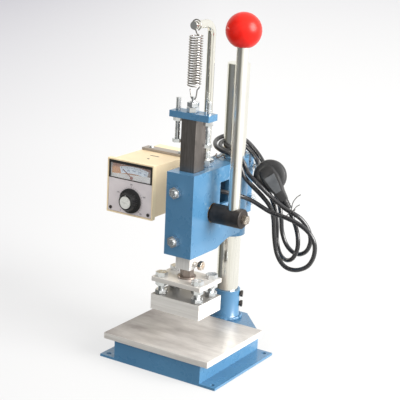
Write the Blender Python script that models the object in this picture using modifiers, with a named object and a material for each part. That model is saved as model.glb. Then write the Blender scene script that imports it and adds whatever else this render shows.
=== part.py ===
"""Hand-lever hot foil stamper with a rack-driven ram, a heated block and a panel controller.

Metres, +Z up. The origin is the column's axis where the column's foot meets the bench.
The stamping head works in front of the column, towards -Y.
"""

import math

import bmesh
import bpy
from mathutils import Matrix, Vector

# Driving dimensions ---------------------------------------------------------------------
GAP = 0.0003                 # clearance between pieces that touch
SLIP = 0.0001                # clearance of running and sliding pieces

STAMP_Y = -0.098             # stamping axis, in front of the column's axis
COLUMN_R = 0.0142
COLUMN_H = 0.3586

SHEET = 0.003                # folded steel of the base
BASE_TOP = 0.027
BASE_HALF_W = 0.062
BASE_FRONT = STAMP_Y - 0.060
BASE_BACK = STAMP_Y + 0.077
FLANGE_HALF_W = 0.0835
TAIL_BACK = 0.0245           # rear edge of the tongue that carries the column
TAIL_HALF_W = 0.0185

PLATE_W = 0.150
PLATE_D = 0.130
PLATE_TOP = 0.035

SOCKET_R = 0.0172
SOCKET_TOP = 0.065

HEAD_W = 0.038               # width of the head and outside diameter of its clamp
HEAD_BOTTOM = 0.138
HEAD_TOP = 0.2405
HEAD_FRONT = STAMP_Y - 0.024
WALL = 0.005
CLAMP_BOTTOM = 0.140
EAR_BACK = 0.036
EAR_BOTTOM = 0.162
CLAMP_BOLT_Y = 0.029
CLAMP_BOLT_Z = (0.180, 0.224)

RAM_W = 0.020
RAM_FRONT = STAMP_Y - 0.0109
RAM_BACK = STAMP_Y + 0.0106  # root line of the rack teeth
RAM_BOTTOM = 0.1185
RAM_TOP = 0.3033

MODULE = 0.0015
PINION_TEETH = 14
ADDENDUM = 0.8 * MODULE      # stub teeth, so that the small pinion isn't undercut
DEDENDUM = 1.0 * MODULE
PRESSURE_ANGLE = math.radians(20)
BACKLASH = 0.00036
PITCH_R = MODULE * PINION_TEETH / 2
PINION_Y = RAM_BACK + DEDENDUM + PITCH_R
PINION_Z = 0.1865

HUB_R = 0.012
HUB_LEFT = 0.0200
HUB_RIGHT = 0.0615
LEVER_X = 0.0480
LEVER_R = 0.0070
LEVER_LENGTH = 0.2238        # pinion axis to ball centre
BALL_R = 0.0213

CROSSBAR_BOTTOM = 0.3036
CROSSBAR_T = 0.0078
CROSSBAR_W = 0.0550
CROSSBAR_D = 0.0196
CROSSBAR_Y = STAMP_Y - 0.0017
STOP_X = 0.0212

SPRING_Y = STAMP_Y - 0.0030
SPRING_MEAN_R = 0.0077
SPRING_WIRE_R = 0.0008
SPRING_TOP = 0.4015
SPRING_BOTTOM = 0.3425
SPRING_TURNS = 20
HANGER_R = 0.0050
HANGER_Y = STAMP_Y + 0.0310
HANGER_TOP = 0.4135

BLOCK_W = 0.070
BLOCK_D = 0.050
BLOCK_BOTTOM = 0.0643
BLOCK_TOP = 0.0838
HEAD_PLATE_BOTTOM = 0.1003
HEAD_PLATE_TOP = 0.1060
BOLT_X = 0.0260
BOLT_Y = 0.0160

PANEL = 0.072                # front of the controller, a square of the usual panel size
PANEL_X = -0.119
PANEL_Z = 0.1868
PANEL_FRONT = STAMP_Y + 0.042
BEZEL_T = 0.007
CASE = 0.067
CASE_D = 0.108
CASE_WALL = 0.0018
KNOB_X = PANEL_X + 0.0019
KNOB_Z = PANEL_Z - 0.0156

X_AXIS = Vector((1, 0, 0))
Y_AXIS = Vector((0, 1, 0))
Z_AXIS = Vector((0, 0, 1))
AXES = {"x": X_AXIS, "y": Y_AXIS, "z": Z_AXIS}


# Scene and materials --------------------------------------------------------------------
def clear_scene():
    """Remove every object, and the collections left over from before."""
    for obj in list(bpy.data.objects):
        bpy.data.objects.remove(obj, do_unlink=True)
    for collection in list(bpy.data.collections):
        bpy.data.collections.remove(collection)


def make_collection(name):
    collection = bpy.data.collections.new(name)
    bpy.context.scene.collection.children.link(collection)
    return collection


clear_scene()
PARTS = make_collection("hot_foil_stamper")
CUTTERS = make_collection("cutters")

FINISHES = {
    "blue_enamel": ((0.10, 0.26, 0.46), 0.38, 0.0),
    "aluminium": ((0.78, 0.78, 0.77), 0.40, 1.0),
    "polished_steel": ((0.80, 0.79, 0.76), 0.22, 1.0),
    "dark_steel": ((0.24, 0.23, 0.22), 0.45, 1.0),
    "zinc": ((0.74, 0.76, 0.78), 0.30, 1.0),
    "spring_steel": ((0.55, 0.54, 0.52), 0.28, 1.0),
    "bronze": ((0.62, 0.44, 0.20), 0.40, 1.0),
    "black_oxide": ((0.035, 0.033, 0.032), 0.50, 0.4),
    "red_plastic": ((0.78, 0.03, 0.02), 0.18, 0.0),
    "beige_plastic": ((0.86, 0.74, 0.55), 0.45, 0.0),
    "panel_grey": ((0.62, 0.58, 0.60), 0.50, 0.0),
    "black_plastic": ((0.03, 0.03, 0.03), 0.40, 0.0),
    "clear_plastic": ((0.90, 0.93, 0.95), 0.08, 0.0),
    "dial_white": ((0.80, 0.84, 0.88), 0.50, 0.0),
    "rubber": ((0.02, 0.02, 0.022), 0.48, 0.0),
    "brass": ((0.78, 0.62, 0.28), 0.30, 1.0),
}


def make_material(slot):
    colour, roughness, metallic = FINISHES[slot]
    material = bpy.data.materials.new(slot)
    material.use_nodes = True
    shader = material.node_tree.nodes["Principled BSDF"]
    shader.inputs["Base Color"].default_value = (*colour, 1.0)
    shader.inputs["Roughness"].default_value = roughness
    shader.inputs["Metallic"].default_value = metallic
    return material


MATERIALS = {slot: make_material(slot) for slot in FINISHES}


# Building helpers -----------------------------------------------------------------------
def finish_mesh(name, mesh, slot, location, smooth):
    """Wrap a mesh in an object with its material, in the parts' collection."""
    if smooth:
        mesh.shade_smooth()
        mesh.set_sharp_from_angle(angle=math.radians(35))
    mesh.materials.append(MATERIALS[slot])
    obj = bpy.data.objects.new(name, mesh)
    obj.location = location
    PARTS.objects.link(obj)
    return obj


def mesh_from_bmesh(name, bm):
    mesh = bpy.data.meshes.new(name)
    bm.to_mesh(mesh)
    bm.free()
    return mesh


def box(name, slot, low, high):
    """A block from its lowest to its highest corner."""
    low, high = Vector(low), Vector(high)
    bm = bmesh.new()
    bmesh.ops.create_cube(bm, size=1.0)
    bmesh.ops.scale(bm, vec=high - low, verts=bm.verts)
    return finish_mesh(name, mesh_from_bmesh(name, bm), slot, (low + high) / 2, False)


def cylinder(name, slot, radius, start, end, axis, sides=32, top_radius=None):
    """A cylinder, prism or cone along a named axis, from its start point by a length."""
    start = Vector(start)
    length = end - start["xyz".index(axis)]
    bm = bmesh.new()
    bmesh.ops.create_cone(
        bm,
        cap_ends=True,
        segments=sides,
        radius1=radius,
        radius2=radius if top_radius is None else top_radius,
        depth=abs(length),
    )
    turn = Z_AXIS.rotation_difference(AXES[axis] * math.copysign(1, length)).to_matrix()
    bmesh.ops.rotate(bm, matrix=turn, verts=bm.verts)
    centre = start + AXES[axis] * length / 2
    return finish_mesh(name, mesh_from_bmesh(name, bm), slot, centre, sides > 8)


def hexagon(name, slot, across_flats, start, end, axis):
    """A hexagonal bolt head or nut."""
    return cylinder(name, slot, across_flats / math.sqrt(3), start, end, axis, sides=6)


def turned(name, slot, profile, location, axis="z", sides=32):
    """A solid of revolution; the profile runs from the top end down its outer side."""
    bm = bmesh.new()
    verts = [bm.verts.new((radius, 0.0, height)) for radius, height in profile]
    for first, second in zip(verts, verts[1:]):
        bm.edges.new((first, second))
    if profile[0][0] > 0:
        bm.edges.new((verts[-1], verts[0]))
    obj = finish_mesh(name, mesh_from_bmesh(name, bm), slot, location, True)
    obj.rotation_euler = Z_AXIS.rotation_difference(AXES[axis]).to_euler()
    screw = obj.modifiers.new("turn", "SCREW")
    screw.steps = sides
    screw.render_steps = sides
    screw.use_merge_vertices = True
    screw.merge_threshold = 0.00001
    screw.use_smooth_shade = True
    return obj


def ring_profile(outer, inner, bottom, top):
    """Closed profile of a plain tube."""
    return [(outer, top), (outer, bottom), (inner, bottom), (inner, top)]


def outline_solid(name, slot, points, thickness, location, plane):
    """A flat outline made thick, as a mesh; plane is 'yz' (thick along X) or 'xy' or 'xz'."""
    curve = bpy.data.curves.new(name, "CURVE")
    curve.dimensions = "2D"
    curve.fill_mode = "BOTH"
    curve.extrude = thickness / 2
    spline = curve.splines.new("POLY")
    spline.points.add(len(points) - 1)
    for point, (first, second) in zip(spline.points, points):
        point.co = (first, second, 0.0, 1.0)
    spline.use_cyclic_u = True
    turns = {
        "xy": Matrix.Identity(4),
        "xz": Matrix.Rotation(math.radians(90), 4, "X"),
        "yz": Matrix(((0, 0, 1, 0), (1, 0, 0, 0), (0, 1, 0, 0), (0, 0, 0, 1))),
    }
    return mesh_object_from_curve(name, slot, curve, turns[plane], location, False)


def tube(name, slot, points, radius, resolution=2):
    """A round wire or rod along a line of points, as a curve object with filled caps."""
    curve = bpy.data.curves.new(name, "CURVE")
    curve.dimensions = "3D"
    curve.bevel_depth = radius
    curve.bevel_resolution = resolution
    curve.use_fill_caps = True
    spline = curve.splines.new("POLY")
    spline.points.add(len(points) - 1)
    for point, place in zip(spline.points, points):
        point.co = (*place, 1.0)
    spline.use_smooth = True
    curve.materials.append(MATERIALS[slot])
    obj = bpy.data.objects.new(name, curve)
    PARTS.objects.link(obj)
    return obj


def mesh_object_from_curve(name, slot, curve, turn, location, smooth):
    """Turn a curve into a welded mesh object, so that it can be cut and joined."""
    source = bpy.data.objects.new(name + "_outline", curve)
    bpy.context.scene.collection.objects.link(source)
    bpy.context.view_layer.update()
    evaluated = source.evaluated_get(bpy.context.evaluated_depsgraph_get())
    mesh = bpy.data.meshes.new_from_object(evaluated)
    bpy.data.objects.remove(source, do_unlink=True)
    bm = bmesh.new()
    bm.from_mesh(mesh)
    bmesh.ops.remove_doubles(bm, verts=bm.verts, dist=0.000001)
    bmesh.ops.transform(bm, matrix=turn, verts=bm.verts)
    bmesh.ops.recalc_face_normals(bm, faces=bm.faces)
    bm.to_mesh(mesh)
    bm.free()
    mesh.name = name
    mesh.materials.clear()
    return finish_mesh(name, mesh, slot, location, smooth)


def use_tool(obj, tool, operation):
    """Join or cut obj with tool, which becomes a hidden construction piece."""
    for collection in list(tool.users_collection):
        collection.objects.unlink(tool)
    CUTTERS.objects.link(tool)
    tool.hide_render = True
    tool.display_type = "WIRE"
    boolean = obj.modifiers.new(operation.lower(), "BOOLEAN")
    boolean.operation = operation
    boolean.solver = "EXACT"
    boolean.object = tool


def cut(obj, *tools):
    for tool in tools:
        use_tool(obj, tool, "DIFFERENCE")


def join(obj, *tools):
    for tool in tools:
        use_tool(obj, tool, "UNION")


def drill(obj, radius, start, end, axis, sides=32):
    """A round hole through or into obj."""
    cut(obj, cylinder(obj.name + "_hole", "zinc", radius, start, end, axis, sides))


def ease(obj, width):
    """A small chamfer on every sharp edge."""
    bevel = obj.modifiers.new("eased_edges", "BEVEL")
    bevel.width = width
    bevel.segments = 1
    bevel.limit_method = "ANGLE"
    bevel.angle_limit = math.radians(40)


def body_axis(name, location):
    """An empty on a joint's axis, which carries the pieces of one moving body."""
    empty = bpy.data.objects.new(name, None)
    empty.empty_display_size = 0.02
    empty.location = location
    PARTS.objects.link(empty)
    return empty


def carry(axis, *pieces):
    """Parent pieces to a body's empty without moving them."""
    for piece in pieces:
        piece.parent = axis
        piece.location = piece.location - axis.location


# Base -----------------------------------------------------------------------------------
def make_base():
    """Folded base with side flanges, the work plate, the column and its socket."""
    wall = BASE_HALF_W - SHEET
    hat = [
        (-FLANGE_HALF_W, 0.0),
        (-wall, 0.0),
        (-wall, BASE_TOP - SHEET),
        (wall, BASE_TOP - SHEET),
        (wall, 0.0),
        (FLANGE_HALF_W, 0.0),
        (FLANGE_HALF_W, SHEET),
        (BASE_HALF_W, SHEET),
        (BASE_HALF_W, BASE_TOP),
        (-BASE_HALF_W, BASE_TOP),
        (-BASE_HALF_W, SHEET),
        (-FLANGE_HALF_W, SHEET),
    ]
    length = BASE_BACK - BASE_FRONT
    middle = (BASE_BACK + BASE_FRONT) / 2
    frame = outline_solid("base_frame", "blue_enamel", hat, length, (0, middle, 0), "xz")
    front = box(
        "base_front_wall",
        "blue_enamel",
        (-BASE_HALF_W + 0.001, BASE_FRONT, 0.0),
        (BASE_HALF_W - 0.001, BASE_FRONT + SHEET, BASE_TOP - 0.001),
    )
    tongue = [
        (-BASE_HALF_W + 0.0005, BASE_BACK - 0.010),
        (BASE_HALF_W - 0.0005, BASE_BACK - 0.010),
        (BASE_HALF_W - 0.0005, BASE_BACK),
        (TAIL_HALF_W, TAIL_BACK),
        (-TAIL_HALF_W, TAIL_BACK),
        (-BASE_HALF_W + 0.0005, BASE_BACK),
    ]
    tail = outline_solid(
        "base_tail", "blue_enamel", tongue, SHEET - 0.0002, (0, 0, BASE_TOP - SHEET / 2), "xy"
    )
    join(frame, front, tail)
    drill(frame, COLUMN_R + GAP, (0, 0, BASE_TOP - 0.01), BASE_TOP + 0.01, "z", 48)
    for side in (-1, 1):
        for along in (BASE_FRONT + 0.0075, BASE_BACK - 0.0075):
            place = (side * 0.0755, along, -0.002)
            drill(frame, 0.0030, place, SHEET + 0.002, "z", 20)

    plate = box(
        "work_plate",
        "aluminium",
        (-PLATE_W / 2, STAMP_Y - PLATE_D / 2, BASE_TOP + GAP),
        (PLATE_W / 2, STAMP_Y + PLATE_D / 2, PLATE_TOP),
    )
    ease(plate, 0.0005)

    column_profile = [
        (0.0, COLUMN_H),
        (COLUMN_R - 0.001, COLUMN_H),
        (COLUMN_R, COLUMN_H - 0.001),
        (COLUMN_R, 0.0),
        (0.0, 0.0),
    ]
    turned("column", "polished_steel", column_profile, (0, 0, 0), sides=48)

    foot = BASE_TOP + GAP
    inner = COLUMN_R + GAP
    socket_profile = [
        (SOCKET_R, SOCKET_TOP),
        (SOCKET_R, foot + 0.0045),
        (SOCKET_R + 0.0015, foot + 0.0020),
        (SOCKET_R + 0.0040, foot),
        (inner, foot),
        (inner, SOCKET_TOP),
    ]
    socket = turned("column_socket", "blue_enamel", socket_profile, (0, 0, 0), sides=48)
    swing = Matrix.Rotation(math.radians(22.5), 4, "Z")
    socket_pieces = [socket]
    for name, height in (("socket_screw_upper", 0.0590), ("socket_screw_lower", 0.0455)):
        drill(socket, 0.0033, (0.010, 0, height), SOCKET_R + 0.005, "x", 20)
        screw = cylinder(
            name, "black_oxide", 0.0030, (COLUMN_R + GAP, 0, height), SOCKET_R + 0.002, "x", 20
        )
        head = cylinder(
            name + "_head",
            "black_oxide",
            0.0042,
            (SOCKET_R + 0.0010, 0, height),
            SOCKET_R + 0.0040,
            "x",
            20,
        )
        join(screw, head)
        drill(screw, 0.0017, (SOCKET_R + 0.0020, 0, height), SOCKET_R + 0.006, "x", 6)
        socket_pieces.append(screw)
    for piece in socket_pieces:
        piece.matrix_basis = swing @ piece.matrix_basis
        for modifier in piece.modifiers:
            if modifier.type == "BOOLEAN":
                modifier.object.matrix_basis = swing @ modifier.object.matrix_basis


# Head -----------------------------------------------------------------------------------
def make_housing():
    """Head weldment: box for the ram, side cheeks and the split clamp round the column."""
    half = HEAD_W / 2
    cheek = [
        (HEAD_FRONT, HEAD_BOTTOM),
        (STAMP_Y + 0.0355, HEAD_BOTTOM),
        (STAMP_Y + 0.0470, HEAD_BOTTOM + 0.0042),
        (STAMP_Y + 0.0620, HEAD_BOTTOM + 0.0078),
        (-0.0080, HEAD_BOTTOM + 0.0078),
        (-0.0080, HEAD_TOP),
        (HEAD_FRONT, HEAD_TOP),
    ]
    housing = outline_solid("head_housing", "blue_enamel", cheek, HEAD_W, (0, 0, 0), "yz")
    inside = half - WALL
    hollow = box(
        "head_hollow",
        "blue_enamel",
        (-inside, HEAD_FRONT + WALL, HEAD_BOTTOM - 0.01),
        (inside, -0.0260, HEAD_TOP - WALL),
    )
    ram_window = box(
        "ram_window",
        "blue_enamel",
        (-RAM_W / 2 - 0.0006, RAM_FRONT - 0.0006, HEAD_TOP - 0.01),
        (RAM_W / 2 + 0.0006, RAM_BACK + 0.0034, HEAD_TOP + 0.01),
    )
    wire_window = box(
        "wire_window",
        "blue_enamel",
        (-0.03, STAMP_Y + 0.0370, 0.1930),
        (0.03, STAMP_Y + 0.0570, 0.2215),
    )
    clamp = cylinder(
        "clamp_barrel", "blue_enamel", half, (0, 0, CLAMP_BOTTOM), HEAD_TOP + 0.0005, "z", 48
    )
    ears = box(
        "clamp_ears",
        "blue_enamel",
        (-0.0080, 0.0150, EAR_BOTTOM),
        (0.0080, EAR_BACK, HEAD_TOP - 0.0005),
    )
    slit = box("clamp_slit", "blue_enamel", (-0.0015, 0.0, 0.1), (0.0015, 0.05, 0.3))
    cut(housing, hollow, ram_window, wire_window)
    join(housing, clamp, ears)
    drill(housing, COLUMN_R + SLIP, (0, 0, 0.1), 0.3, "z", 48)
    cut(housing, slit)
    drill(housing, HUB_R + GAP, (-0.03, PINION_Y, PINION_Z), 0.03, "x", 40)
    drill(housing, HANGER_R + GAP, (0, HANGER_Y, HEAD_TOP - 0.01), HEAD_TOP + 0.01, "z", 24)
    for height in GIB_SCREW_Z:
        start = (GIB_SCREW_X, HEAD_FRONT - 0.005, height)
        drill(housing, 0.0040 + GAP, start, HEAD_FRONT + WALL + 0.002, "y", 24)
    for height in CLAMP_BOLT_Z:
        drill(housing, 0.0040 + GAP, (-0.012, CLAMP_BOLT_Y, height), 0.012, "x", 24)
    return housing


GIB_SCREW_X = -0.0040
GIB_SCREW_Z = (0.1570, 0.2175)


def make_guides():
    """Gib in front of the ram and a brass strip on each side of it."""
    low = HEAD_BOTTOM + 0.004
    high = HEAD_TOP - WALL - 0.001
    front = box(
        "front_gib",
        "brass",
        (-0.0135, HEAD_FRONT + WALL + 0.0012, low),
        (0.0135, RAM_FRONT - SLIP, high),
    )
    inside = HEAD_W / 2 - WALL - GAP
    strips = []
    for name, side in (("left_guide", -1), ("right_guide", 1)):
        reach = sorted((side * (RAM_W / 2 + SLIP), side * inside))
        strips.append(
            box(
                name,
                "brass",
                (reach[0], RAM_FRONT + 0.0005, low),
                (reach[1], RAM_BACK - 0.0010, high),
            )
        )
    return [front, *strips]


def make_gib_screws():
    """Two slotted adjusting screws with their lock nuts, which press on the gib."""
    screws = []
    tip = HEAD_FRONT + WALL + 0.0012 - GAP
    for name, height in zip(("gib_screw_lower", "gib_screw_upper"), GIB_SCREW_Z):
        end = HEAD_FRONT - 0.0095
        screw = cylinder(name, "zinc", 0.0040, (GIB_SCREW_X, end, height), tip, "y", 24)
        nut_back = HEAD_FRONT - GAP
        nut = hexagon(
            name + "_nut", "zinc", 0.013, (GIB_SCREW_X, nut_back - 0.0062, height), nut_back, "y"
        )
        slot = box(
            name + "_slot",
            "zinc",
            (GIB_SCREW_X - 0.0006, end - 0.001, height - 0.005),
            (GIB_SCREW_X + 0.0006, end + 0.0018, height + 0.005),
        )
        join(screw, nut)
        cut(screw, slot)
        screws.append(screw)
    return screws


def make_clamp_bolts():
    """Bolts that draw the clamp's ears together, each with its nut."""
    bolts = []
    for name, height in zip(("clamp_bolt_lower", "clamp_bolt_upper"), CLAMP_BOLT_Z):
        seat = BRACKET_TAB_LEFT if height == CLAMP_BOLT_Z[1] else -0.0080
        seat -= GAP
        place = (seat - 0.0053, CLAMP_BOLT_Y, height)
        bolt = hexagon(name, "zinc", 0.013, place, seat, "x")
        shank = cylinder(
            name + "_shank",
            "zinc",
            0.0040,
            (seat - 0.003, CLAMP_BOLT_Y, height),
            0.0180,
            "x",
            20,
        )
        nut = hexagon(
            name + "_nut", "zinc", 0.013, (0.0080 + GAP, CLAMP_BOLT_Y, height), 0.0148, "x"
        )
        join(bolt, shank, nut)
        bolts.append(bolt)
    return bolts


BRACKET_T = 0.003
BRACKET_TAB_LEFT = -0.0080 - GAP - BRACKET_T


def make_bushes():
    bushes = []
    half = HEAD_W / 2
    for name, side in (("bush_left", -1), ("bush_right", 1)):
        middle = side * (half - WALL / 2)
        profile = ring_profile(HUB_R, 0.0070 + SLIP, -WALL / 2, WALL / 2)
        place = (middle, PINION_Y, PINION_Z)
        bushes.append(turned(name, "bronze", profile, place, "x", 40))
    return bushes


def arc_points(centre, radius, start, end, steps):
    """Points of an arc in a (horizontal, vertical) plane; angles in degrees."""
    points = []
    for step in range(steps + 1):
        angle = math.radians(start + (end - start) * step / steps)
        across = centre[0] + radius * math.cos(angle)
        points.append((across, centre[1] + radius * math.sin(angle)))
    return points


def make_hanger():
    """Bent rod that holds the top of the return spring, and its lock nut."""
    bend = 0.013
    path = [(HANGER_Y, HEAD_TOP - WALL - 0.003), (HANGER_Y, HANGER_TOP - bend)]
    path += arc_points((HANGER_Y - bend, HANGER_TOP - bend), bend, 15, 90, 6)
    path += [(SPRING_Y - 0.0065, HANGER_TOP)]
    rod = tube("spring_hanger", "polished_steel", [(0, y, z) for y, z in path], HANGER_R, 4)
    nut = hexagon("hanger_nut", "zinc", 0.017, (0, HANGER_Y, HEAD_TOP + GAP), 0.2490, "z")
    drill(nut, HANGER_R + GAP, (0, HANGER_Y, 0.23), 0.26, "z", 24)
    return [rod, nut]


def make_return_spring():
    """Extension spring: a loop over the hanger, close coils and a long lower hook."""
    hook_r = HANGER_R + SPRING_WIRE_R + 0.0006
    points = []
    for x, z in arc_points((0, HANGER_TOP), hook_r, -60, 255, 14):
        share = len(points) / 14
        points.append((x, SPRING_Y - 0.0012 + 0.0024 * share, z))
    points.append((0.0010, SPRING_Y - 0.0014, SPRING_TOP + 0.0034))
    points.append((0.0052, SPRING_Y - 0.0036, SPRING_TOP + 0.0014))
    per_turn = 10
    count = SPRING_TURNS * per_turn
    for step in range(count + 1):
        angle = 2 * math.pi * step / per_turn
        height = SPRING_TOP + (SPRING_BOTTOM - SPRING_TOP) * step / count
        x = SPRING_MEAN_R * math.cos(angle)
        points.append((x, SPRING_Y + SPRING_MEAN_R * math.sin(angle), height))
    eye = EYE_Z
    hook = [
        (0.0066, SPRING_BOTTOM - 0.0020),
        (0.0046, SPRING_BOTTOM - 0.0040),
        (0.0036, eye + 0.0030),
        (0.0026, eye + 0.0004),
        (0.0012, eye - 0.0003),
        (-0.0012, eye - 0.0003),
        (-0.0026, eye + 0.0004),
        (-0.0036, eye + 0.0030),
        (-0.0052, SPRING_BOTTOM - 0.0040),
    ]
    points += [(x, SPRING_Y, z) for x, z in hook]
    return tube("return_spring", "spring_steel", points, SPRING_WIRE_R)


# Ram ------------------------------------------------------------------------------------
RACK_BOTTOM = 0.1500
RACK_TOP = 0.2990
EYE_Z = 0.3272
SHANK_R = 0.0060


def rack_outline():
    """Side view of the ram: plain front, stub rack teeth on the back."""
    pitch = math.pi * MODULE
    flank = math.tan(PRESSURE_ANGLE)
    half_tip = pitch / 4 - BACKLASH / 2 - ADDENDUM * flank
    half_root = pitch / 4 - BACKLASH / 2 + DEDENDUM * flank
    points = [(RAM_FRONT, RAM_TOP), (RAM_FRONT, RAM_BOTTOM), (RAM_BACK, RAM_BOTTOM)]
    first = math.ceil((RACK_BOTTOM - PINION_Z) / pitch)
    last = math.floor((RACK_TOP - PINION_Z) / pitch)
    tip = RAM_BACK + DEDENDUM + ADDENDUM
    for tooth in range(first, last + 1):
        centre = PINION_Z + tooth * pitch
        points.append((RAM_BACK, centre - half_root))
        points.append((tip, centre - half_tip))
        points.append((tip, centre + half_tip))
        points.append((RAM_BACK, centre + half_root))
    points.append((RAM_BACK, RAM_TOP))
    return points


def make_ram():
    ram = outline_solid("ram", "dark_steel", rack_outline(), RAM_W, (0, 0, 0), "yz")
    drill(ram, SHANK_R + GAP, (0, STAMP_Y, RAM_BOTTOM - 0.005), RAM_BOTTOM + 0.0165, "z", 24)
    drill(ram, 0.0033, (0.004, STAMP_Y, LOCK_Z), 0.012, "x", 20)
    drill(ram, 0.0043, (0, SPRING_Y, RAM_TOP - 0.018), RAM_TOP + 0.005, "z", 24)

    crossbar = box(
        "crossbar",
        "blue_enamel",
        (-CROSSBAR_W / 2, CROSSBAR_Y - CROSSBAR_D / 2, CROSSBAR_BOTTOM),
        (CROSSBAR_W / 2, CROSSBAR_Y + CROSSBAR_D / 2, CROSSBAR_BOTTOM + CROSSBAR_T),
    )
    drill(crossbar, 0.0043, (0, SPRING_Y, 0.30), 0.32, "z", 24)
    for side in (-1, 1):
        drill(crossbar, 0.0033, (side * STOP_X, CROSSBAR_Y, 0.30), 0.32, "z", 20)
    return [ram, crossbar, make_eye_bolt(), *make_stops(), *make_tool_head()]


LOCK_Z = 0.1248


def make_eye_bolt():
    """Stud in the top of the ram with two nuts and a drilled eye for the spring."""
    bar_top = CROSSBAR_BOTTOM + CROSSBAR_T
    stud = cylinder("spring_eye_bolt", "zinc", 0.0040, (0, SPRING_Y, 0.2870), 0.3245, "z", 24)
    low_nut = hexagon(
        "eye_nut_low", "zinc", 0.013, (0, SPRING_Y, bar_top + GAP), bar_top + 0.0062, "z"
    )
    high_nut = hexagon(
        "eye_nut_high", "zinc", 0.013, (0, SPRING_Y, bar_top + 0.0070), bar_top + 0.0122, "z"
    )
    high_nut.rotation_euler.z = math.radians(22)
    neck = cylinder("eye_neck", "zinc", 0.0021, (0, SPRING_Y, 0.3200), 0.3300, "z", 16)
    join(stud, low_nut, high_nut, neck)
    drill(stud, 0.0013, (-0.006, SPRING_Y, EYE_Z), 0.006, "x", 12)
    return stud


def make_stops():
    """Adjustable stop bolts that hang from the crossbar, head down, with lock nuts."""
    stops = []
    for name, side in (("stop_bolt_left", -1), ("stop_bolt_right", 1)):
        x = side * STOP_X
        bolt = hexagon(name, "zinc", 0.010, (x, CROSSBAR_Y, 0.2722), 0.2764, "z")
        shank = cylinder(
            name + "_shank", "zinc", 0.0030, (x, CROSSBAR_Y, 0.2750), 0.3262, "z", 20
        )
        nut_top = CROSSBAR_BOTTOM - GAP
        nut = hexagon(name + "_nut", "zinc", 0.010, (x, CROSSBAR_Y, nut_top - 0.005), nut_top, "z")
        join(bolt, shank, nut)
        stops.append(bolt)
    return stops


def make_tool_head():
    """Shank, upper plate, four levelling bolts and the heated block."""
    plate_top = HEAD_PLATE_TOP
    shank_profile = [
        (0.0, RAM_BOTTOM + 0.0150),
        (SHANK_R, RAM_BOTTOM + 0.0150),
        (SHANK_R, RAM_BOTTOM - GAP),
        (0.0062, RAM_BOTTOM - GAP),
        (0.0062, plate_top + 0.0028),
        (0.0114, plate_top + 0.0024),
        (0.0114, plate_top + GAP),
        (0.0050, plate_top + GAP),
        (0.0050, HEAD_PLATE_BOTTOM + 0.0003),
        (0.0, HEAD_PLATE_BOTTOM + 0.0003),
    ]
    shank = turned("tool_shank", "dark_steel", shank_profile, (0, STAMP_Y, 0), sides=32)
    flats_low = (0, STAMP_Y, plate_top + 0.0026)
    flats = hexagon("tool_shank_flats", "dark_steel", 0.0145, flats_low, RAM_BOTTOM - 0.0010, "z")
    join(shank, flats)

    face = RAM_W / 2
    lock = cylinder(
        "shank_screw", "zinc", 0.0030, (SHANK_R + GAP, STAMP_Y, LOCK_Z), face + 0.009, "x", 20
    )
    lock_head = hexagon(
        "shank_screw_head", "zinc", 0.010, (face + 0.0070, STAMP_Y, LOCK_Z), face + 0.0120, "x"
    )
    join(lock, lock_head)
    for wide, tall in ((0.0005, 0.003), (0.003, 0.0005)):
        slot = box(
            "shank_screw_slot",
            "zinc",
            (face + 0.0105, STAMP_Y - wide, LOCK_Z - tall),
            (face + 0.0140, STAMP_Y + wide, LOCK_Z + tall),
        )
        cut(lock, slot)

    plate = box(
        "upper_plate",
        "aluminium",
        (-BLOCK_W / 2, STAMP_Y - BLOCK_D / 2, HEAD_PLATE_BOTTOM),
        (BLOCK_W / 2, STAMP_Y + BLOCK_D / 2, HEAD_PLATE_TOP),
    )
    ease(plate, 0.0004)
    drill(plate, 0.0053, (0, STAMP_Y, 0.09), 0.12, "z", 24)

    block = box(
        "heating_block",
        "aluminium",
        (-BLOCK_W / 2, STAMP_Y - BLOCK_D / 2, BLOCK_BOTTOM),
        (BLOCK_W / 2, STAMP_Y + BLOCK_D / 2, BLOCK_TOP),
    )
    ease(block, 0.0004)

    back = STAMP_Y + BLOCK_D / 2
    inserts = []
    for name, slot, x, radius, depth, proud in (
        ("cartridge_heater_left", "polished_steel", -0.0130, 0.0040, 0.044, 0.004),
        ("cartridge_heater_right", "polished_steel", 0.0130, 0.0040, 0.044, 0.004),
        ("thermocouple", "zinc", 0.0, 0.0025, 0.022, 0.006),
    ):
        middle = (BLOCK_BOTTOM + BLOCK_TOP) / 2 - 0.0005
        start = (x, back - depth, middle)
        drill(block, radius + GAP, (x, back - depth - GAP, middle), back + 0.002, "y", 24)
        inserts.append(cylinder(name, slot, radius, start, back + proud, "y", 24))

    bolts = []
    for row, y_side in (("front", -1), ("back", 1)):
        for column, x_side in (("left", -1), ("right", 1)):
            x = x_side * BOLT_X
            y = STAMP_Y + y_side * BOLT_Y
            name = f"levelling_bolt_{row}_{column}"
            drill(plate, 0.0043, (x, y, 0.09), 0.12, "z", 20)
            drill(block, 0.0043, (x, y, 0.0752), 0.09, "z", 20)
            bolt = hexagon(name, "zinc", 0.013, (x, y, plate_top + GAP), plate_top + 0.0056, "z")
            shank_piece = cylinder(
                name + "_shank", "zinc", 0.0040, (x, y, 0.0760), plate_top + 0.003, "z", 20
            )
            under = HEAD_PLATE_BOTTOM - GAP
            upper_nut = hexagon(name + "_nut_a", "zinc", 0.013, (x, y, under - 0.0050), under, "z")
            seat = BLOCK_TOP + GAP
            lower_nut = hexagon(name + "_nut_b", "zinc", 0.013, (x, y, seat), seat + 0.0050, "z")
            lower_nut.rotation_euler.z = math.radians(17)
            join(bolt, shank_piece, upper_nut, lower_nut)
            bolts.append(bolt)
    return [shank, lock, plate, *bolts, block, *inserts]


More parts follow.
